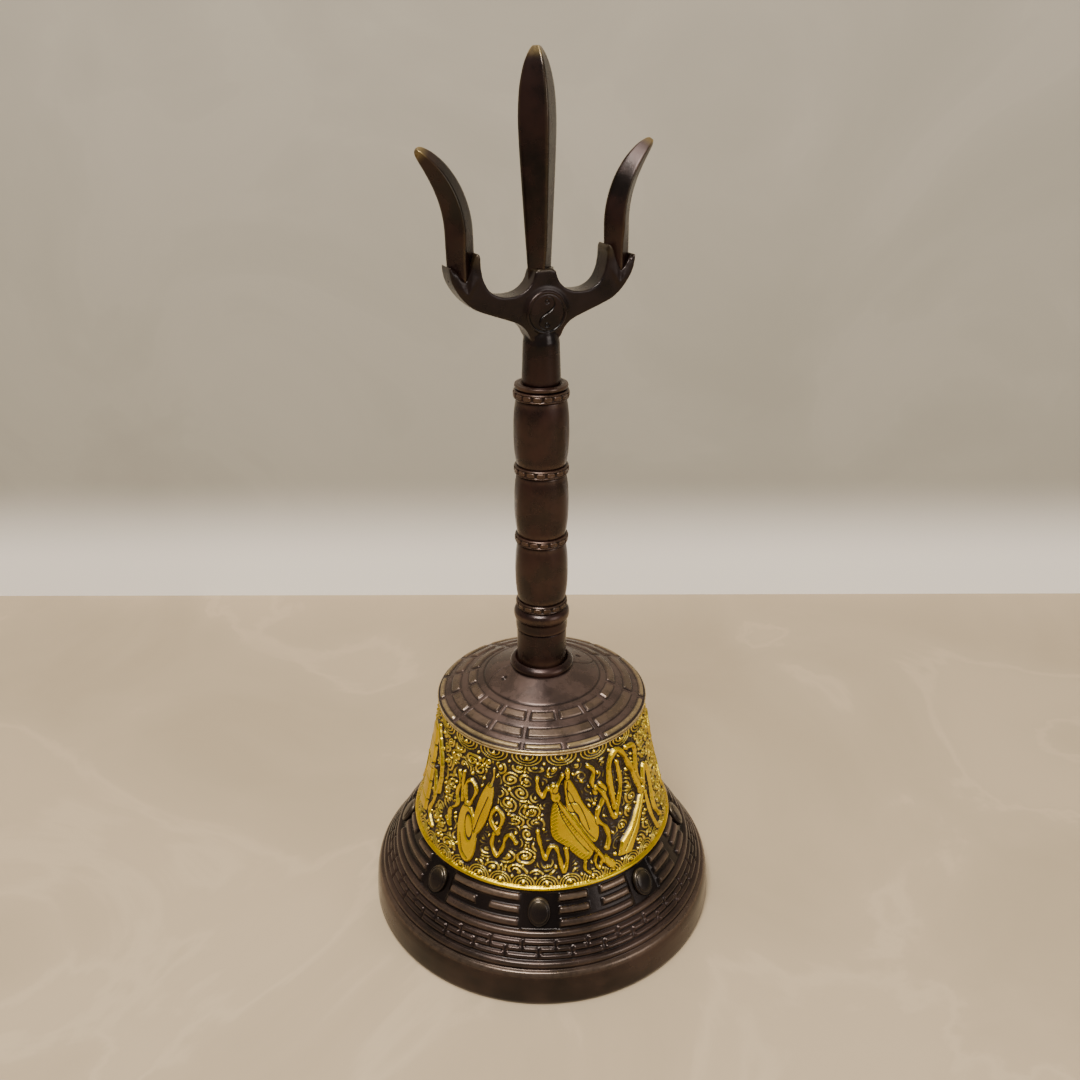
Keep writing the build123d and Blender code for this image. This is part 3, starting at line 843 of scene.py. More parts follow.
def sword(chart):
    """A broad leaf of a sword leaning to the right, under a tall tangle of ribbons."""
    blade = polygon([(-6.4, -9.0), (-3.0, -9.6), (0.6, -5.6), (5.2, 1.4), (5.8, 3.6), (3.8, 2.4),
                     (-1.6, -3.6), (-5.0, -5.8)])
    where, x, y = chart.plate(blade, 12, 1.1)
    chart.engrave(where, line_distance(x, y, [(-4.6, -8.2), (0.2, -3.6), (5.0, 2.6)]))
    chart.ribbon([(-5.6, 4.0), (-6.2, 14.6), (-3.8, 18.4), (-1.2, 17.2), (1.2, 12.8), (3.0, 8.6), (4.6, 3.2)],
                 0.6, 1.2)
    chart.ribbon([(-3.2, 15.2), (-2.6, 9.4), (-4.2, 4.6), (-6.0, 1.2), (-8.2, 8.0), (-10.6, 11.0)], 0.45, 1.0)
    chart.ribbon([(0.8, 17.4), (4.6, 15.8), (4.0, 8.6), (6.6, 4.2)], 0.5, 1.1)
    chart.ribbon([(6.0, 3.0), (8.2, 8.6), (10.4, 5.0), (9.6, -4.2), (11.6, -8.4)], 0.5, 1.1)
    chart.ribbon([(6.8, 1.4), (7.4, -5.4), (9.0, -10.4)], 0.4)


def gourd(chart):
    """A gourd with a stopper, its waist tied with ribbons."""
    chart.plate(oval((0.4, -5.2), (4.4, 4.9), 0), 14, 1.25, 1.2)
    chart.plate(oval((0.0, 3.0), (2.9, 3.3), 0), 14, 1.2, 1.0)
    chart.plate(oval((-0.2, 7.6), (0.9, 1.9), 10), 14, 1.0, 0.6)
    chart.ribbon([(-3.0, -0.6), (0.0, -1.2), (3.0, -0.6)], 0.4, 1.3)
    chart.ribbon([(3.0, -0.6), (6.0, 3.0), (8.4, 0.4), (6.4, -2.4), (9.6, -6.2), (8.2, -10.4)])
    chart.ribbon([(-3.0, -0.6), (-6.4, 2.4), (-7.6, 7.2), (-5.2, 10.2), (-2.4, 13.0)])
    chart.ribbon([(-3.0, -1.0), (-7.2, -2.6), (-6.0, -7.4), (-8.6, -11.2)])
    chart.ribbon([(1.0, 9.2), (4.6, 12.4), (7.4, 9.6), (8.6, 13.6)])


def lotus(chart):
    """A lotus flower of pointed petals on a curving stalk, with one leaf."""
    petals = ((-58, 3.6, 0.9), (58, 3.6, 0.9), (-30, 3.0, 1.05), (30, 3.0, 1.05), (0, 2.6, 1.2))
    for lean, out, high in petals:
        turn = math.radians(lean)
        middle = (out * math.sin(turn), 3.6 + out * math.cos(turn))
        chart.plate(oval(middle, (1.5, 3.6), lean), 13, high, 0.5, 0.22)
    chart.ribbon([(0, 3.0), (-1.0, -2.4), (1.2, -7.4), (0.2, -12.2)], 0.6, 1.0)
    chart.plate(oval((4.2, -7.4), (3.4, 1.9), -18), 13, 0.95, 0.5, 0.22)
    chart.ribbon([(-1.0, -3.4), (-5.0, -4.4), (-6.8, -8.6), (-4.2, -11.6)])
    chart.ribbon([(0.8, -4.0), (5.0, -2.4), (8.2, -4.6), (8.8, 0.4), (6.6, 4.2)])
    chart.ribbon([(-6.2, 6.0), (-8.0, 10.4), (-5.0, 13.4), (-2.2, 11.8)])


def flute(chart):
    """A jointed flute leaning across the panel with a tasselled cord."""
    a, b = (-5.2, -11.4), (5.2, 11.4)
    where, x, y = chart.plate(lambda x, y: segment_distance(x, y, a, b) - 0.95, 15, 1.25, 0.9)
    run, height = b[0] - a[0], b[1] - a[1]
    along = ((x - a[0]) * run + (y - a[1]) * height) / math.hypot(run, height)
    chart.engrave(where, (along % 3.6) - 1.8, 0.4, 0.2)
    chart.ribbon([(1.4, 3.2), (5.4, 2.0), (7.6, -2.4), (5.6, -6.0), (8.4, -10.6)])
    chart.ribbon([(1.2, 2.8), (-3.6, 5.0), (-7.4, 2.4), (-6.0, -2.0), (-8.4, -5.4)])
    chart.ribbon([(-2.0, 6.0), (-4.6, 9.8), (-1.6, 12.8), (0.6, 10.0)])


def basket(chart):
    """A woven flower basket with a high handle and blossoms."""
    wicker = polygon([(-4.4, 1.0), (4.4, 1.0), (3.2, -9.2), (-3.2, -9.2)], 0.5)
    where, x, y = chart.plate(wicker, 13, 1.1, 0.5)
    weave = np.sin(x * 4.2) * np.sin(y * 4.2)
    chart.lift[where] -= 0.28 * (weave > 0.15) * (wicker(x, y) < -0.6)
    chart.ribbon([(-4.4, 1.2), (-3.8, 8.2), (0, 11.6), (3.8, 8.2), (4.4, 1.2)], 0.5, 1.1)
    for spot, petal in itertools.product(((-2.4, 3.0), (0.0, 4.2), (2.4, 3.0)), range(5)):
        turn = 2 * math.pi * petal / 5
        middle = (spot[0] + 0.95 * math.cos(turn), spot[1] + 0.95 * math.sin(turn))
        chart.plate(oval(middle, (0.7, 0.7), 0), 8, 1.1, 0.6)
    chart.ribbon([(4.6, 0.8), (8.0, 2.6), (8.6, -3.2), (6.6, -7.2), (8.8, -11.4)])
    chart.ribbon([(-4.6, 0.8), (-8.2, -0.6), (-6.6, -5.4), (-8.6, -10.0)])


def bamboo_drum(chart):
    """A tall bamboo drum with its beater and a sash."""
    drum = polygon([(-2.6, 12.0), (1.4, 12.4), (3.2, -10.6), (-1.2, -11.0)], 0.4)
    where, x, y = chart.plate(drum, 15, 1.25, 1.0)
    chart.engrave(where, (y % 5.2) - 2.6, 0.35, 0.2)
    chart.ribbon([(2.4, 13.8), (7.4, 5.2), (7.8, -2.0)], 0.55, 1.1)
    chart.ribbon([(-3.4, 2.4), (0.4, 1.2), (4.0, 2.6)], 0.45, 1.4)
    chart.ribbon([(-3.4, 2.4), (-7.2, 5.0), (-8.0, -0.6), (-5.8, -4.8), (-8.4, -9.6)])
    chart.ribbon([(3.8, 2.4), (6.4, -4.4), (5.2, -9.2), (8.0, -12.0)])


# Each emblem with the angle of its middle to the right of the camera, and its height up the bell
EMBLEMS = (
    (castanets, -34.5, 39.0), (palm_fan, 12.0, 42.4), (sword, 47.5, 38.4), (lotus, 100.0, 41.0),
    (flute, 146.0, 42.0), (basket, 190.0, 41.0), (gourd, 236.0, 41.5), (bamboo_drum, 284.0, 42.0),
)


def scroll_fields(chart, rng):
    """Distance to the nearest and to the second cloud scroll, and the nearest one's turns of spiral."""
    shape = chart.lift.shape
    around = 2 * math.pi * float(chart.profile[:, 0].mean())
    x, z = np.meshgrid((chart.angle - BAND_SEAM) / 360.0 * around, chart.z)
    x = x + 1.5 * (noise_field(rng, shape, (9, 52)) - 0.5)
    z = z + 1.3 * (noise_field(rng, shape, (9, 52)) - 0.5)
    nearest, second, phase = np.full(shape, FAR), np.full(shape, FAR), np.zeros(shape)
    count = int(around / SCROLL_PITCH)
    for row, level in enumerate(np.arange(chart.z.min(), chart.z.max() + 2, SCROLL_ROW)):
        rows = np.where(np.abs(chart.z - level) < 6)[0]
        for k in range(count):
            middle = (k + 0.5 * (row % 2)) * around / count + rng.uniform(-1.0, 1.0)
            spin, start = rng.choice((-1, 1)), rng.uniform(0, 1)
            dx = (x[rows] - middle + around / 2) % around - around / 2
            dz = (z[rows] - level - rng.uniform(-0.7, 0.7)) * 1.25
            gap = np.hypot(dx, dz)
            closer = gap < nearest[rows]
            second[rows] = np.where(closer, nearest[rows], np.minimum(second[rows], gap))
            nearest[rows] = np.where(closer, gap, nearest[rows])
            turns = gap / SCROLL_TURN + spin * np.arctan2(dz, dx) / (2 * math.pi) + start
            phase[rows] = np.where(closer, turns, phase[rows])
    return nearest, second, phase


def cloud_ground(chart):
    """Cloud scrolls all over the ground, each a spiral round a pearl, sunk in the dark beside emblems."""
    rng = np.random.default_rng(RNG_SEED)
    shape = chart.lift.shape
    nearest, second, phase = scroll_fields(chart, rng)
    ridge = 0.5 + 0.5 * np.cos(2 * math.pi * phase)
    ground = 0.08 + 0.56 * ease((ridge - 0.3) / 0.5)
    ground *= 0.75 + 0.5 * noise_field(rng, shape, (14, 90))
    ground *= 0.25 + 0.75 * ease((second - nearest) / 0.6)
    pearl = 0.95 * half_round(nearest, PEARL_R)
    ground = np.maximum(ground * (nearest > 0.4), pearl * (noise_field(rng, shape, (12, 80)) > 0.42))
    hollow = ease((chart.clear - 0.25) / 0.8)
    hollow *= 0.45 + 0.55 * ease((chart.clear - 0.4 - 1.5 * noise_field(rng, shape, (7, 40))) / 0.8)
    chart.lift = np.where(chart.clear > 0.2, np.maximum(chart.lift, ground * hollow), chart.lift)
    # loose pearls scattered in the hollows and over the scrolls
    for _ in range(LOOSE_PEARLS):
        chart.place = rng.uniform(0, 360), rng.uniform(chart.z.min() + 2.5, chart.z.max() - 3.5)
        size = rng.uniform(0.34, 0.55)
        where, x, y = chart.window(0.8)
        gap = np.hypot(x, y)
        free = chart.clear[where] > 0.5
        chart.lift[where] = np.where((gap < size + 0.14) & free, 0.05, chart.lift[where])
        chart.raise_to(where, 0.95 * half_round(gap, size) * free)


def arches(chart, count, from_edge, sizes, depth, flat):
    """A row of nested arches along one edge of the band, with a pearl in each mouth and between each two."""
    radius = float(chart.profile[0 if from_edge[0] < from_edge[-1] else -1, 0])
    width = 2 * math.pi * radius / count
    x = (((chart.angle - BAND_SEAM) / 360.0 * count) % 1.0 - 0.5) * width
    x, y = np.meshgrid(x, from_edge)
    zone = (y < depth) * (chart.clear > 0.3)
    chart.lift = np.where(zone, np.minimum(chart.lift, 0.06), chart.lift)
    for size in sizes:
        gap = np.abs(np.hypot(x, (y - 0.3) * flat) - size)
        chart.lift = np.maximum(chart.lift, 0.62 * rise(gap, 0.17, 0.3) * zone)
    in_mouth = (x**2 + (y - 0.8) ** 2) / 0.24
    between = ((width / 2 - np.abs(x)) ** 2 + (y - depth + 0.9) ** 2) / 0.2
    for height, outward in ((0.9, in_mouth), (0.8, between)):
        chart.lift = np.maximum(chart.lift, height * np.sqrt(np.clip(1 - outward, 0, 1)) * zone)


def build_band():
    outer = arc_through(BAND_FOOT, BAND_MID, BAND_HEAD, BAND_ROWS)
    chart = Chart(np.array(outer))
    for emblem, angle, z in EMBLEMS:
        chart.place = (from_camera(angle) % 360.0, z)
        emblem(chart)
    cloud_ground(chart)
    # small arches along the foot of the band, and a wider garland under its head
    arches(chart, 36, chart.z - chart.z.min(), (1.2, 2.0, 2.7), 2.9, 1.2)
    arches(chart, 20, chart.z.max() - chart.z, (1.5, 2.5, 3.5), 3.0, 1.5)
    lift = np.clip(chart.lift, 0, None)
    bead = raised(SKIRT_TOP_Z, ((SKIRT_TOP_R - 0.8, 0.1), (SKIRT_TOP_R - 0.1, 0.12), (SKIRT_TOP_R, 0.5),
                                (SKIRT_TOP_R - 0.25, 0.9), (SKIRT_TOP_R - 0.85, 1.0)))
    inner = arc_through((25.25, SHOULDER_Z - 1.1), (27.95, WAIST_Z), (32.2, SKIRT_TOP_Z + 0.5), 6)
    profile = np.array([*bead, *outer, (26.0, SHOULDER_Z - 1.1), *inner])
    rows = slice(len(bead), len(bead) + len(outer))
    relief, shade, wear_and_highlight = (np.zeros((len(profile), BAND_COLUMNS)) for _ in range(3))
    relief[rows] = lift
    shade[rows] = lift * (1 - 0.9 * ease(chart.dirt / 0.7))
    shade[:rows.start] = 1.0
    shade[rows.stop:] = 0.6
    wear_and_highlight[rows] = 0.55 * ease((0.9 - lift) / 0.3)
    half = BAND_COLUMNS // 2
    for name, columns in (("gilt_relief_front", np.arange(half, BAND_COLUMNS + 1)),
                          ("gilt_relief_back", np.arange(0, half + 1))):
        picked = columns % BAND_COLUMNS
        turned_piece(name, "gilt_relief_band", GILT, profile, relief[:, picked], wear_and_highlight[:, picked],
                     shade[:, picked], BAND_SEAM + columns * 360.0 / BAND_COLUMNS)


build_band()


# --- Handle: collar, neck, boss, cup ring, barrels and beaded rings --------------------------------
BARREL_R = 6.48
BARREL_SWELL = 0.66     # how much thinner a barrel is at its ends
RING_COLUMNS = 252
RING_PLATES = 16
RING_MIDDLE_R = 6.2
# Half a ring's outline as (inward from the lip's radius, height from the ring's end)
RING_LIP = ((0.7, 0.0), (0.25, 0.05), (0.0, 0.3), (0.15, 0.52))


def bored(outer):
    """A closed profile from a piece's outer outline and the bore for the tie rod."""
    return np.array([(BORE_R, outer[0][1]), *outer, (BORE_R, outer[-1][1])])


def stack_piece(name, node, outline, columns, step, rub):
    """A turned piece of the handle from its outer (r, z) outline.

    rub lists the (z, width, amount) of each band of wear.
    """
    profile = bored(resample(outline, step))
    z = profile[:, 1:]
    wear_and_highlight = sum(amount * hump(z - level, width) for level, width, amount in rub)
    wear_and_highlight = wear_and_highlight * (0.75 + 0.25 * np.sin(np.radians(full_turn(columns)) * 3 + z[0]))
    turned_piece(name, node, GRIP, profile, np.zeros_like(wear_and_highlight), wear_and_highlight)


def build_stack():
    foot = COLLAR_FOOT_Z
    stack_piece(
        "collar", "crown_collar",
        raised(foot, ((6.3, 0.02), (7.75, 0.02), (8.02, 0.45), (8.13, 1.0), (8.02, 1.5), (7.7, 1.95),
                      (7.2, 2.35), (6.85, 2.5), (6.6, 2.3), (6.3, 1.7))),
        200, 0.2, [(foot + 1.6, 0.4, 0.10)]
    )
    base, seam = neck_low[2], neck_high[2]
    stack_piece(
        "neck", "neck_sleeve",
        [*raised(base, ((6.15, 0.0), (6.15, 2.0), (6.2, 5.0))), (6.2, seam - 0.25), (6.1, seam - 0.02)],
        160, 0.4, [(base + 3.0, 0.8, 0.2)]
    )
    stack_piece(
        "boss", "boss_ring",
        [*raised(seam, ((6.15, 0.02), (6.4, 0.2), (6.45, 1.2), (6.42, 2.5), (6.5, 2.9), (6.8, 3.35),
                        (6.93, 4.1), (6.9, 4.9), (6.6, 5.5), (6.2, 5.9))), (5.9, BOSS_TOP_Z)],
        180, 0.25, [(seam + 4.2, 0.9, 0.3), (seam + 0.5, 0.2, 0.3)]
    )
    base, top = cup_low[2], cup_high[2]
    stack_piece(
        "cup", "cup_ring",
        [*raised(base, ((5.3, 0.0), (5.85, 0.15), (6.15, 0.5), (6.2, 0.85), (6.08, 1.2))),
         *raised(top, ((5.75, -0.45), (5.3, -0.25), (4.7, -0.4), (4.5, -0.7)))],
        180, 0.18, [(base + 0.9, 0.35, 0.35)]
    )


def build_barrels():
    for number in (1, 2, 3):
        node = f"handle_barrel_{number}"
        low, high = (corner[2] for corner in span(node))
        middle, half = (low + high) / 2, (high - low) / 2
        outline = [(BARREL_R - BARREL_SWELL * abs(share) ** 2.6, middle + half * share)
                   for share in np.linspace(-1, 1, 37)]
        rub = [(low + 0.6, 0.7, 0.22), (high - 0.6, 0.7, 0.22), (middle, half * 0.7, 0.08)]
        stack_piece(f"barrel_{number}", node, outline, 168, 0.6, rub)


def build_rings():
    """Rings with two fine lips and a row of raised plates round the face, a dark pit between each two."""
    period = 360.0 / RING_PLATES
    for index in range(4):
        node = f"handle_ring_{index + 1}"
        low, high = (corner[2] for corner in span(node))
        middle, half = (low + high) / 2, (high - low) / 2
        lip_r = 6.27 if index == 0 else 6.38
        outline = [(lip_r - inward, low + up) for inward, up in RING_LIP]
        outline += [(lip_r - inward, high - down) for inward, down in reversed(RING_LIP)]
        profile = bored(resample(outline, 0.085))
        local = (full_turn(RING_COLUMNS) + 7.0 * index) % period - period / 2
        x, y = np.meshgrid(local * math.radians(1.0) * RING_MIDDLE_R, profile[:, 1] - middle)
        plate_face = 1 - np.abs(x / 0.98) ** 5 - np.abs(y / 0.55) ** 4
        face = (profile[:, 0] > 5.9)[:, None]
        dash = hump(y, 0.13) * (np.abs(x) < 0.6)
        relief = (0.27 * ease(plate_face / 0.5) - 0.07 * dash) * face
        relief -= 0.1 * (relief < 0.02) * face * (np.abs(y) < half - 0.6)
        wear_and_highlight = 0.34 * ease(relief / 0.3) + 0.30 * hump(np.abs(y) - half + 0.3, 0.2) * face
        turned_piece(f"beaded_ring_{index + 1}", node, GRIP, profile, relief, wear_and_highlight, deepened(relief, 3.2))


build_stack()
build_barrels()
build_rings()

# --- Trident ---------------------------------------------------------------------------------------
# Stations of (z, width) up the middle blade, and of (place, width) along a side tine. A tine's place is
# millimetres below its bend where it is under 0, and degrees round the bend above that.
BLADE_WIDTHS = (
    (163.8, 5.4), (166.5, 5.55), (170.0, 5.85), (177.0, 6.75), (185.0, 7.7), (192.0, 8.5), (197.5, 8.9),
    (201.0, 8.7), (204.2, 8.1), (206.6, 7.1), (208.6, 5.9), (210.0, 4.6), (211.0, 3.4), (211.65, 2.3),
    (211.9, 1.5), (211.97, 0.4),
)
TINE_WIDTHS = (
    (-9.5, 6.2), (-4.0, 6.35), (0.0, 6.4), (6.0, 6.35), (12.0, 6.2), (18.0, 6.0), (25.0, 5.7), (31.0, 5.3),
    (37.0, 4.8), (42.0, 4.2), (46.0, 3.6), (49.0, 3.0), (51.4, 2.4), (52.8, 1.8), (53.6, 1.1), (53.9, 0.3),
)
TINE_X = 18.3
TINE_STRAIGHT_Z = 177.0
TINE_BEND_R = 21.1
FOOT_RATIO = 0.88       # depth over width of a blade in its socket
EDGE_RATIO = 1.18       # and along its free length
BLADE_AROUND = 48
EDGE_ROUNDING = 0.03
# The right arm's outline in (x, z): its under side, the outer leaf's tip, and its upper side to the hub
ARM_UNDER = ((3.6, 154.2), (4.6, 156.1), (6.4, 157.7), (9.6, 159.0), (13.2, 160.3), (16.6, 161.8),
             (19.2, 164.2), (21.0, 167.0), (21.6, 169.2), (21.75, 170.9))
ARM_TIP = ((21.3, 170.5), (20.2, 168.8), (18.2, 167.4))
ARM_OVER = ((16.9, 170.0), (15.9, 172.6), (15.0, 172.9), (14.8, 170.6), (14.3, 167.8), (13.0, 165.4),
            (11.0, 164.1), (9.0, 163.7), (6.6, 163.9), (4.6, 164.8), (3.1, 166.4), (2.35, 168.6))
ARM_DEPTH = 5.4
SHAFT = ((0.01, 143.3), (4.42, 143.3), (4.45, 145.0), (4.15, 152.9), (3.85, 154.5), (3.0, 156.3),
         (0.01, 156.3))
# (z, radius) up the hexagonal socket of the middle blade, which widens down into the hub
SOCKET = ((158.0, 2.4), (164.0, 2.8), (167.0, 2.95), (168.7, 3.08), (169.0, 3.0))
# (x, z) of the tip and the two feet of each leaf that clasps a side tine
LEAVES = (((20.9, 170.7), (20.2, 167.6), (17.8, 166.0)), ((15.5, 172.3), (15.3, 169.4), (17.9, 166.0)))
LEAF_FACES = ((0, 1, 2), (3, 5, 4), (0, 3, 4), (0, 4, 1), (1, 4, 5), (1, 5, 2), (2, 5, 3), (2, 3, 0))
ROLL_X, ROLL_Z, ROLL_R = 15.35, 172.1, 0.72
VOXEL = 0.24
MEDAL_GROOVE_R, MEDAL_SIGN_R, MEDAL_EYE_R = 4.05, 3.6, 2.5


def diamond_section(width, ratio):
    """A square on edge, its corners a little rounded, as (across, deep) points."""
    points = []
    for turn in np.radians(full_turn(BLADE_AROUND)):
        sharp = 1 / (abs(math.cos(turn)) + abs(math.sin(turn)))
        reach = sharp * (1 - EDGE_ROUNDING * ease((sharp - 0.9) / 0.1)) * width / 2
        points.append((reach * math.cos(turn), reach * math.sin(turn) * ratio))
    return points


def build_blade(name, node, centre_line, widths, lean, set_off=0.0):
    """A blade of diamond section along stations of (x, z, turn), leaning in X by degrees from its foot."""
    verts, wear_and_highlight = [], []
    slope = math.radians(lean)
    foot_x, foot_z, _ = centre_line[0]
    end_x, end_z, _ = centre_line[-1]
    for (x, z, turn), width in zip(centre_line, widths):
        tip = ease((2.6 - math.hypot(x - end_x, z - end_z)) / 2.4)
        ratio = FOOT_RATIO + (EDGE_RATIO - FOOT_RATIO) * ease((z - foot_z - 4.0) / 6.0)
        for k, (across, deep) in enumerate(diamond_section(width, ratio)):
            along, up = x + across * math.cos(turn) - foot_x, z - across * math.sin(turn) - foot_z
            verts.append((foot_x + set_off + along * math.cos(slope) + up * math.sin(slope), deep,
                          foot_z + up * math.cos(slope) - along * math.sin(slope)))
            corner = k % (BLADE_AROUND // 4) == 0
            wear_and_highlight.append(min(1.0, 0.06 * corner + tip * (0.8 if corner else 0.34)))
    ends = (range(BLADE_AROUND), range(len(verts) - BLADE_AROUND, len(verts)))
    mesh = closed_mesh(name, verts, [*grid_quads(len(widths), BLADE_AROUND), *ends])
    bell_piece(name, mesh, node, BLADES, np.zeros(len(verts)), wear_and_highlight)


def build_blades():
    places, widths = zip(*smooth_line(BLADE_WIDTHS, 4))
    build_blade("trident_blade", "centre_blade", [(0.0, z, 0.0) for z in places], widths, -0.7, -0.35)
    places, widths = zip(*smooth_line(TINE_WIDTHS, 4))
    for side, node, lean, reach in ((-1, "left_tine", -1.1, 0.965), (1, "right_tine", -1.2, 0.985)):
        line = []
        for place in places:
            if place <= 0:
                line.append((side * TINE_X, TINE_STRAIGHT_Z + place, 0.0))
            else:
                turn = math.radians(place * reach)
                x = TINE_X + TINE_BEND_R * (1 - math.cos(turn))
                line.append((side * x, TINE_STRAIGHT_Z + TINE_BEND_R * math.sin(turn), side * turn))
        build_blade(f"trident_{node}", node, line, widths, lean)


def prism(outline, depth):
    """Points and faces of a closed (x, z) outline given thickness along Y."""
    count = len(outline)
    verts = [(x, y, z) for y in (-depth / 2, depth / 2) for x, z in outline]
    return verts, [range(count), range(2 * count - 1, count - 1, -1), *grid_quads(2, count)]


def leaf(side, face, tip, foot_a, foot_b):
    """Points and faces of one leaf, a thin wedge on the given side and face of the trident."""
    inner = ((tip[0], 1.7, tip[1]), (foot_a[0], 1.4, foot_a[1]), (foot_b[0], 1.6, foot_b[1]))
    outer = ((tip[0] * 0.7 + TINE_X * 0.3, 2.6, tip[1] - 0.9), (foot_a[0], 2.75, foot_a[1] - 1.2),
             (foot_b[0], 3.1, foot_b[1] - 1.6))
    return [(side * x, face * y, z) for x, y, z in (*inner, *outer)], LEAF_FACES


def head_parts():
    """Points and faces of each solid that the trident's head is blended from, in millimetres."""
    right = [*smooth_line(ARM_UNDER, 5), *ARM_TIP, *smooth_line(ARM_OVER, 5)]
    yield prism([*right, *((-x, z) for x, z in reversed(right))], ARM_DEPTH)
    yield turned_grid(SHAFT, full_turn(64))
    seat = 0.1 - medal_high[1]
    hub = [(0.01, -seat), (5.05, -seat), (5.45, 0.4 - seat), (5.45, seat - 0.4), (5.05, seat), (0.01, seat)]
    verts, quads = turned_grid(hub, full_turn(72))
    yield [(x, z, (medal_low[2] + medal_high[2]) / 2 - y) for x, y, z in verts], quads
    six = np.radians(full_turn(6))
    verts = [(r * math.cos(turn), r * math.sin(turn), z) for z, r in SOCKET for turn in six]
    yield verts, [*grid_quads(len(SOCKET), 6), range(6), range(len(verts) - 6, len(verts))]
    for side, face, corners in itertools.product((-1, 1), (-1, 1), LEAVES):
        yield leaf(side, face, *corners)
    # the inner leaves end in a small roll
    round_turns = np.radians(full_turn(15))
    for side in (-1, 1):
        yield prism([(side * (ROLL_X + ROLL_R * math.cos(turn)), ROLL_Z + ROLL_R * math.sin(turn))
                     for turn in round_turns], 4.4)


def build_head():
    """Shaft, hub, arms and sockets, blended into one casting."""
    whole = bmesh.new()
    for verts, faces in head_parts():
        made = [whole.verts.new(v) for v in verts]
        for face in faces:
            whole.faces.new([made[i] for i in face])
    bmesh.ops.recalc_face_normals(whole, faces=whole.faces)
    bmesh.ops.scale(whole, vec=(MM, MM, MM), verts=whole.verts)
    parts = bpy.data.meshes.new("head_parts")
    whole.to_mesh(parts)
    whole.free()
    rough = placed("head_parts", parts)
    remesh = rough.modifiers.new("blend", "REMESH")
    remesh.mode = "VOXEL"
    remesh.voxel_size = VOXEL * MM
    soften = rough.modifiers.new("soften", "SMOOTH")
    soften.factor = 0.5
    soften.iterations = 9
    mesh = bpy.data.meshes.new_from_object(rough.evaluated_get(bpy.context.evaluated_depsgraph_get()))
    mesh.name = "trident_casting"
    bpy.data.objects.remove(rough)
    bpy.data.meshes.remove(parts)
    co = np.zeros(len(mesh.vertices) * 3, np.float32)
    mesh.vertices.foreach_get("co", co)
    x, _, z = co.reshape(-1, 3).T / MM
    wear_and_highlight = 0.12 * ease((z - 169.6) / 2.4) * ease((np.abs(x) - 12.0) / 1.5)
    wear_and_highlight += 0.10 * hump(z - 168.8, 0.35) * (np.abs(x) < 4)
    relief = -0.3 * ease((z - 155.0) / 3.0)
    bell_piece("trident_casting", smooth_shaded(mesh), "trident_head", BLADES, relief, wear_and_highlight)


def build_medallions():
    """A disc on each side of the hub with a rim groove and a taiji line cut into it."""
    columns, rows = 144, 40
    angle = full_turn(columns)
    for name, side in (("front_medallion", -1), ("back_medallion", 1)):
        low, high = span(name)
        outer_r, middle_z = high[0], (low[2] + high[2]) / 2
        seat, face = (low[1], high[1]) if side > 0 else (high[1], low[1])
        face *= 0.985
        rim = (outer_r, outer_r - 0.05, outer_r - 0.3)
        r, a = np.meshgrid([*rim, *np.linspace(outer_r - 0.45, 0.02, rows)], angle, indexing="ij")
        cut = 0.26 * hump(r - MEDAL_GROOVE_R, 0.14) * (0.35 + 0.65 * (np.sin(np.radians(a)) < 0.2))
        sway = taiji_groove(r, a, MEDAL_SIGN_R, 90.0, -side * 62.0)
        cut += 0.3 * hump(sway, 0.17) * (r < MEDAL_SIGN_R)
        for eye_angle in (90.0, 270.0):
            cut += 0.2 * hump(eye_distance(r, a, MEDAL_EYE_R, eye_angle) - 0.42, 0.13)
        cut[:len(rim)] = 0.0
        depth = face - side * cut
        depth[0], depth[1] = seat, (seat + face) / 2
        verts = np.stack([r * np.cos(np.radians(a)), depth, middle_z + r * np.sin(np.radians(a))], axis=-1)
        quads = grid_quads(len(rim) + rows, columns)
        mesh = quad_mesh(f"taiji_{name}", verts.reshape(-1, 3), quads if side < 0 else quads[:, ::-1])
        bell_piece(f"taiji_{name}", mesh, name, BLADES, -1.6 * cut - 0.2, np.zeros_like(cut))


build_blades()
build_head()
build_medallions()

# --- Hardware and clapper, kept from the CAD model -------------------------------------------------
for node in ("tie_rod", "crown_washer", "crown_nut"):
    coat(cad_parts[node], STEEL)
for node in ("clapper_eye", "clapper_link", "clapper_rod", "clapper_ball"):
    coat(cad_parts[node], BRASS)

# --- Floor, wall, light and camera, all in metres --------------------------------------------------
TURN = math.radians(CAM_TURN)
TOWARDS = Vector((-math.sin(TURN), -math.cos(TURN), 0))     # level, from the bell's axis to the camera
ASIDE = Vector((math.cos(TURN), -math.sin(TURN), 0))        # level, to the camera's right
OVER = Vector((0, 0, 1))
WALL_BACK = 0.167                                           # from the axis to the wall's foot


def paper(name, low, high, rough, veins, foot=None):
    """Matt backdrop paper with faint cloudy veins, and a paler strip of painted light along its foot if one
    is given.
    """
    n = Nodes(name)
    grain = n.noise(9.0, 8.0, 0.5, 1.2)
    colour = n.mix(n.spread(grain, 0.3, 0.7), low, high)
    vein = n.math("ABSOLUTE", n.math("SUBTRACT", grain, 0.56), 0.0)
    colour = n.mix(n.spread(vein, 0.0, 0.03, veins, 0.0), colour, tuple(c * 1.35 for c in high))
    if foot:
        coord, parts = n.add("ShaderNodeTexCoord"), n.add("ShaderNodeSeparateXYZ")
        n.link(coord.outputs["Object"], parts.inputs[0])
        # painted light: the paper turns paler towards its foot, as if more brightly lit there
        colour = n.mix(n.spread(parts.outputs["Z"], 0.014, 0.056), foot, colour)
    n.shader.inputs["Specular IOR Level"].default_value = 0.25
    return n.finish(colour, 0.0, rough)


def slab(name, corners, material):
    mesh = bpy.data.meshes.new(name)
    mesh.from_pydata(corners, [], [tuple(range(len(corners)))])
    obj = placed(name, mesh)
    coat(obj, material)


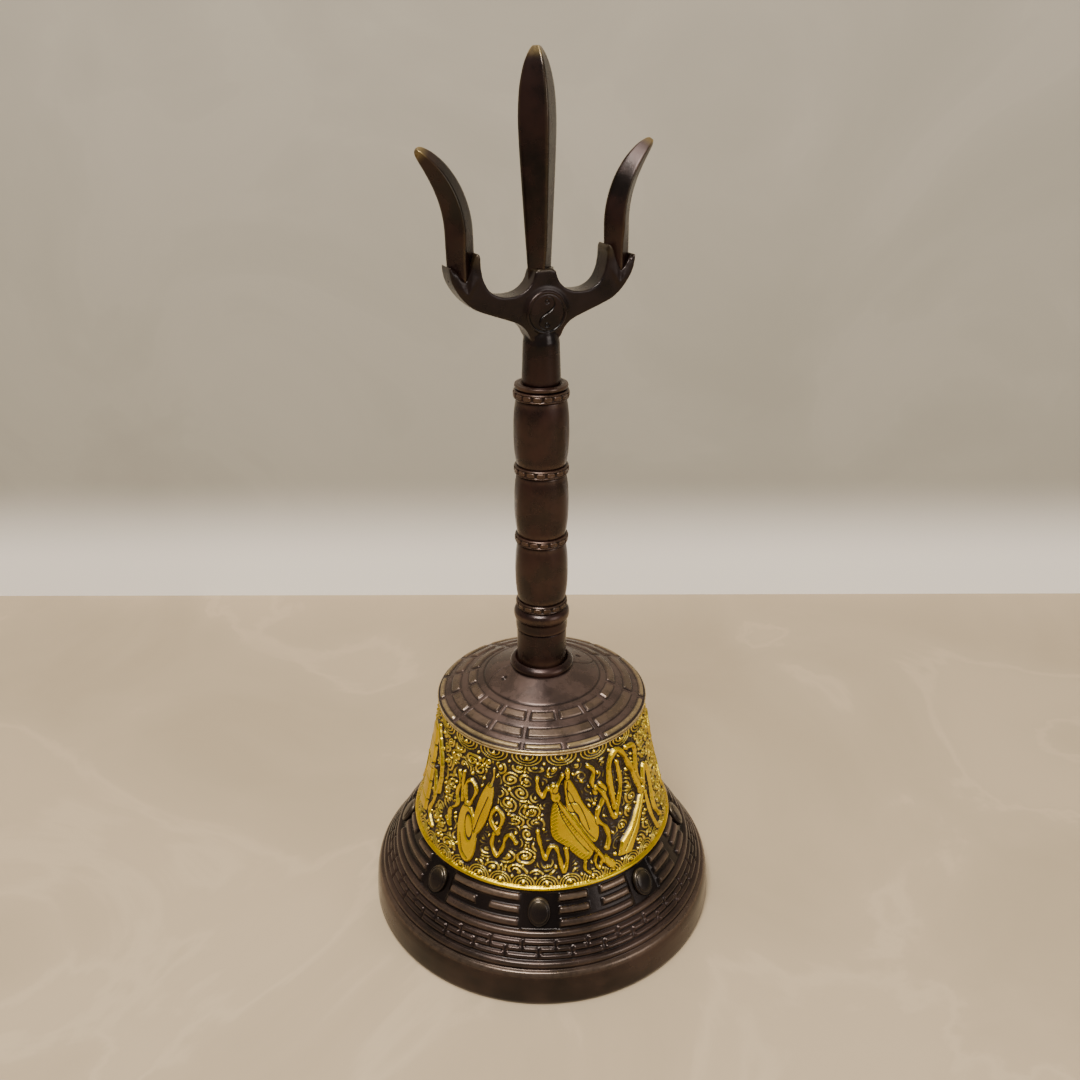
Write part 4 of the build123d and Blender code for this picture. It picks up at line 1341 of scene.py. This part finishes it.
def build_stage():
    wall_at, reach = -TOWARDS * WALL_BACK, ASIDE * 1.2
    near, up = TOWARDS * 1.4, OVER * 1.1
    slab("floor", [wall_at - reach, near - reach, near + reach, wall_at + reach],
         paper("floor_paper", (0.45, 0.352, 0.23), (0.525, 0.41, 0.27), 0.55, 0.24))
    # the wall's paler foot is painted light
    slab("wall", [wall_at - reach, wall_at + reach, wall_at + reach + up, wall_at - reach + up],
         paper("wall_paper", (0.365, 0.335, 0.275), (0.41, 0.375, 0.31), 0.8, 0.04, (1.0, 0.95, 0.88)))


def area_light(name, place, aim_z, size, power, colour):
    """A rectangular lamp aimed at a height on the bell's axis."""
    data = bpy.data.lights.new(name, "AREA")
    data.shape = "RECTANGLE"
    data.size, data.size_y = size
    data.energy = power
    data.color = colour
    lamp = placed(name, data)
    lamp.location = place
    lamp.rotation_euler = (OVER * aim_z - place).to_track_quat("-Z", "Y").to_euler()


def build_light():
    key = TOWARDS * 0.42 - ASIDE * 0.10 + OVER * 0.80
    fill = TOWARDS * 0.5 + ASIDE * 0.7 + OVER * 0.40
    strip = -TOWARDS * 0.02 - ASIDE * 0.15 + OVER * 0.95
    area_light("key", key, 0.06, (0.34, 0.22), 9.0, (1.0, 0.95, 0.88))
    area_light("fill", fill, 0.1, (0.4, 0.4), 2.2, (1.0, 0.97, 0.93))
    area_light("strip", strip, 0.05, (0.8, 0.25), 5.0, (1.0, 0.96, 0.9))
    world = bpy.context.scene.world or bpy.data.worlds.new("studio")
    bpy.context.scene.world = world
    world.use_nodes = True
    back = world.node_tree.nodes["Background"]
    back.inputs["Color"].default_value = (0.95, 0.93, 0.9, 1)
    back.inputs["Strength"].default_value = 0.22


def build_camera():
    data = bpy.data.cameras.new("photo_view")
    data.sensor_width = 36.0
    data.lens = 36.0 * CAM_FOCAL
    data.clip_start = 0.01
    camera = placed("photo_view", data)
    camera.location = TOWARDS * CAM_BACK * MM + ASIDE * CAM_ASIDE * MM + Vector((0, 0, CAM_HEIGHT * MM))
    turned = Matrix.Rotation(-TURN, 3, "Z") @ Matrix.Rotation(math.radians(90 - CAM_PITCH), 3, "X")
    camera.rotation_euler = (turned @ Matrix.Rotation(math.radians(CAM_ROLL), 3, "Z")).to_euler()
    bpy.context.scene.camera = camera


build_stage()
build_light()
build_camera()
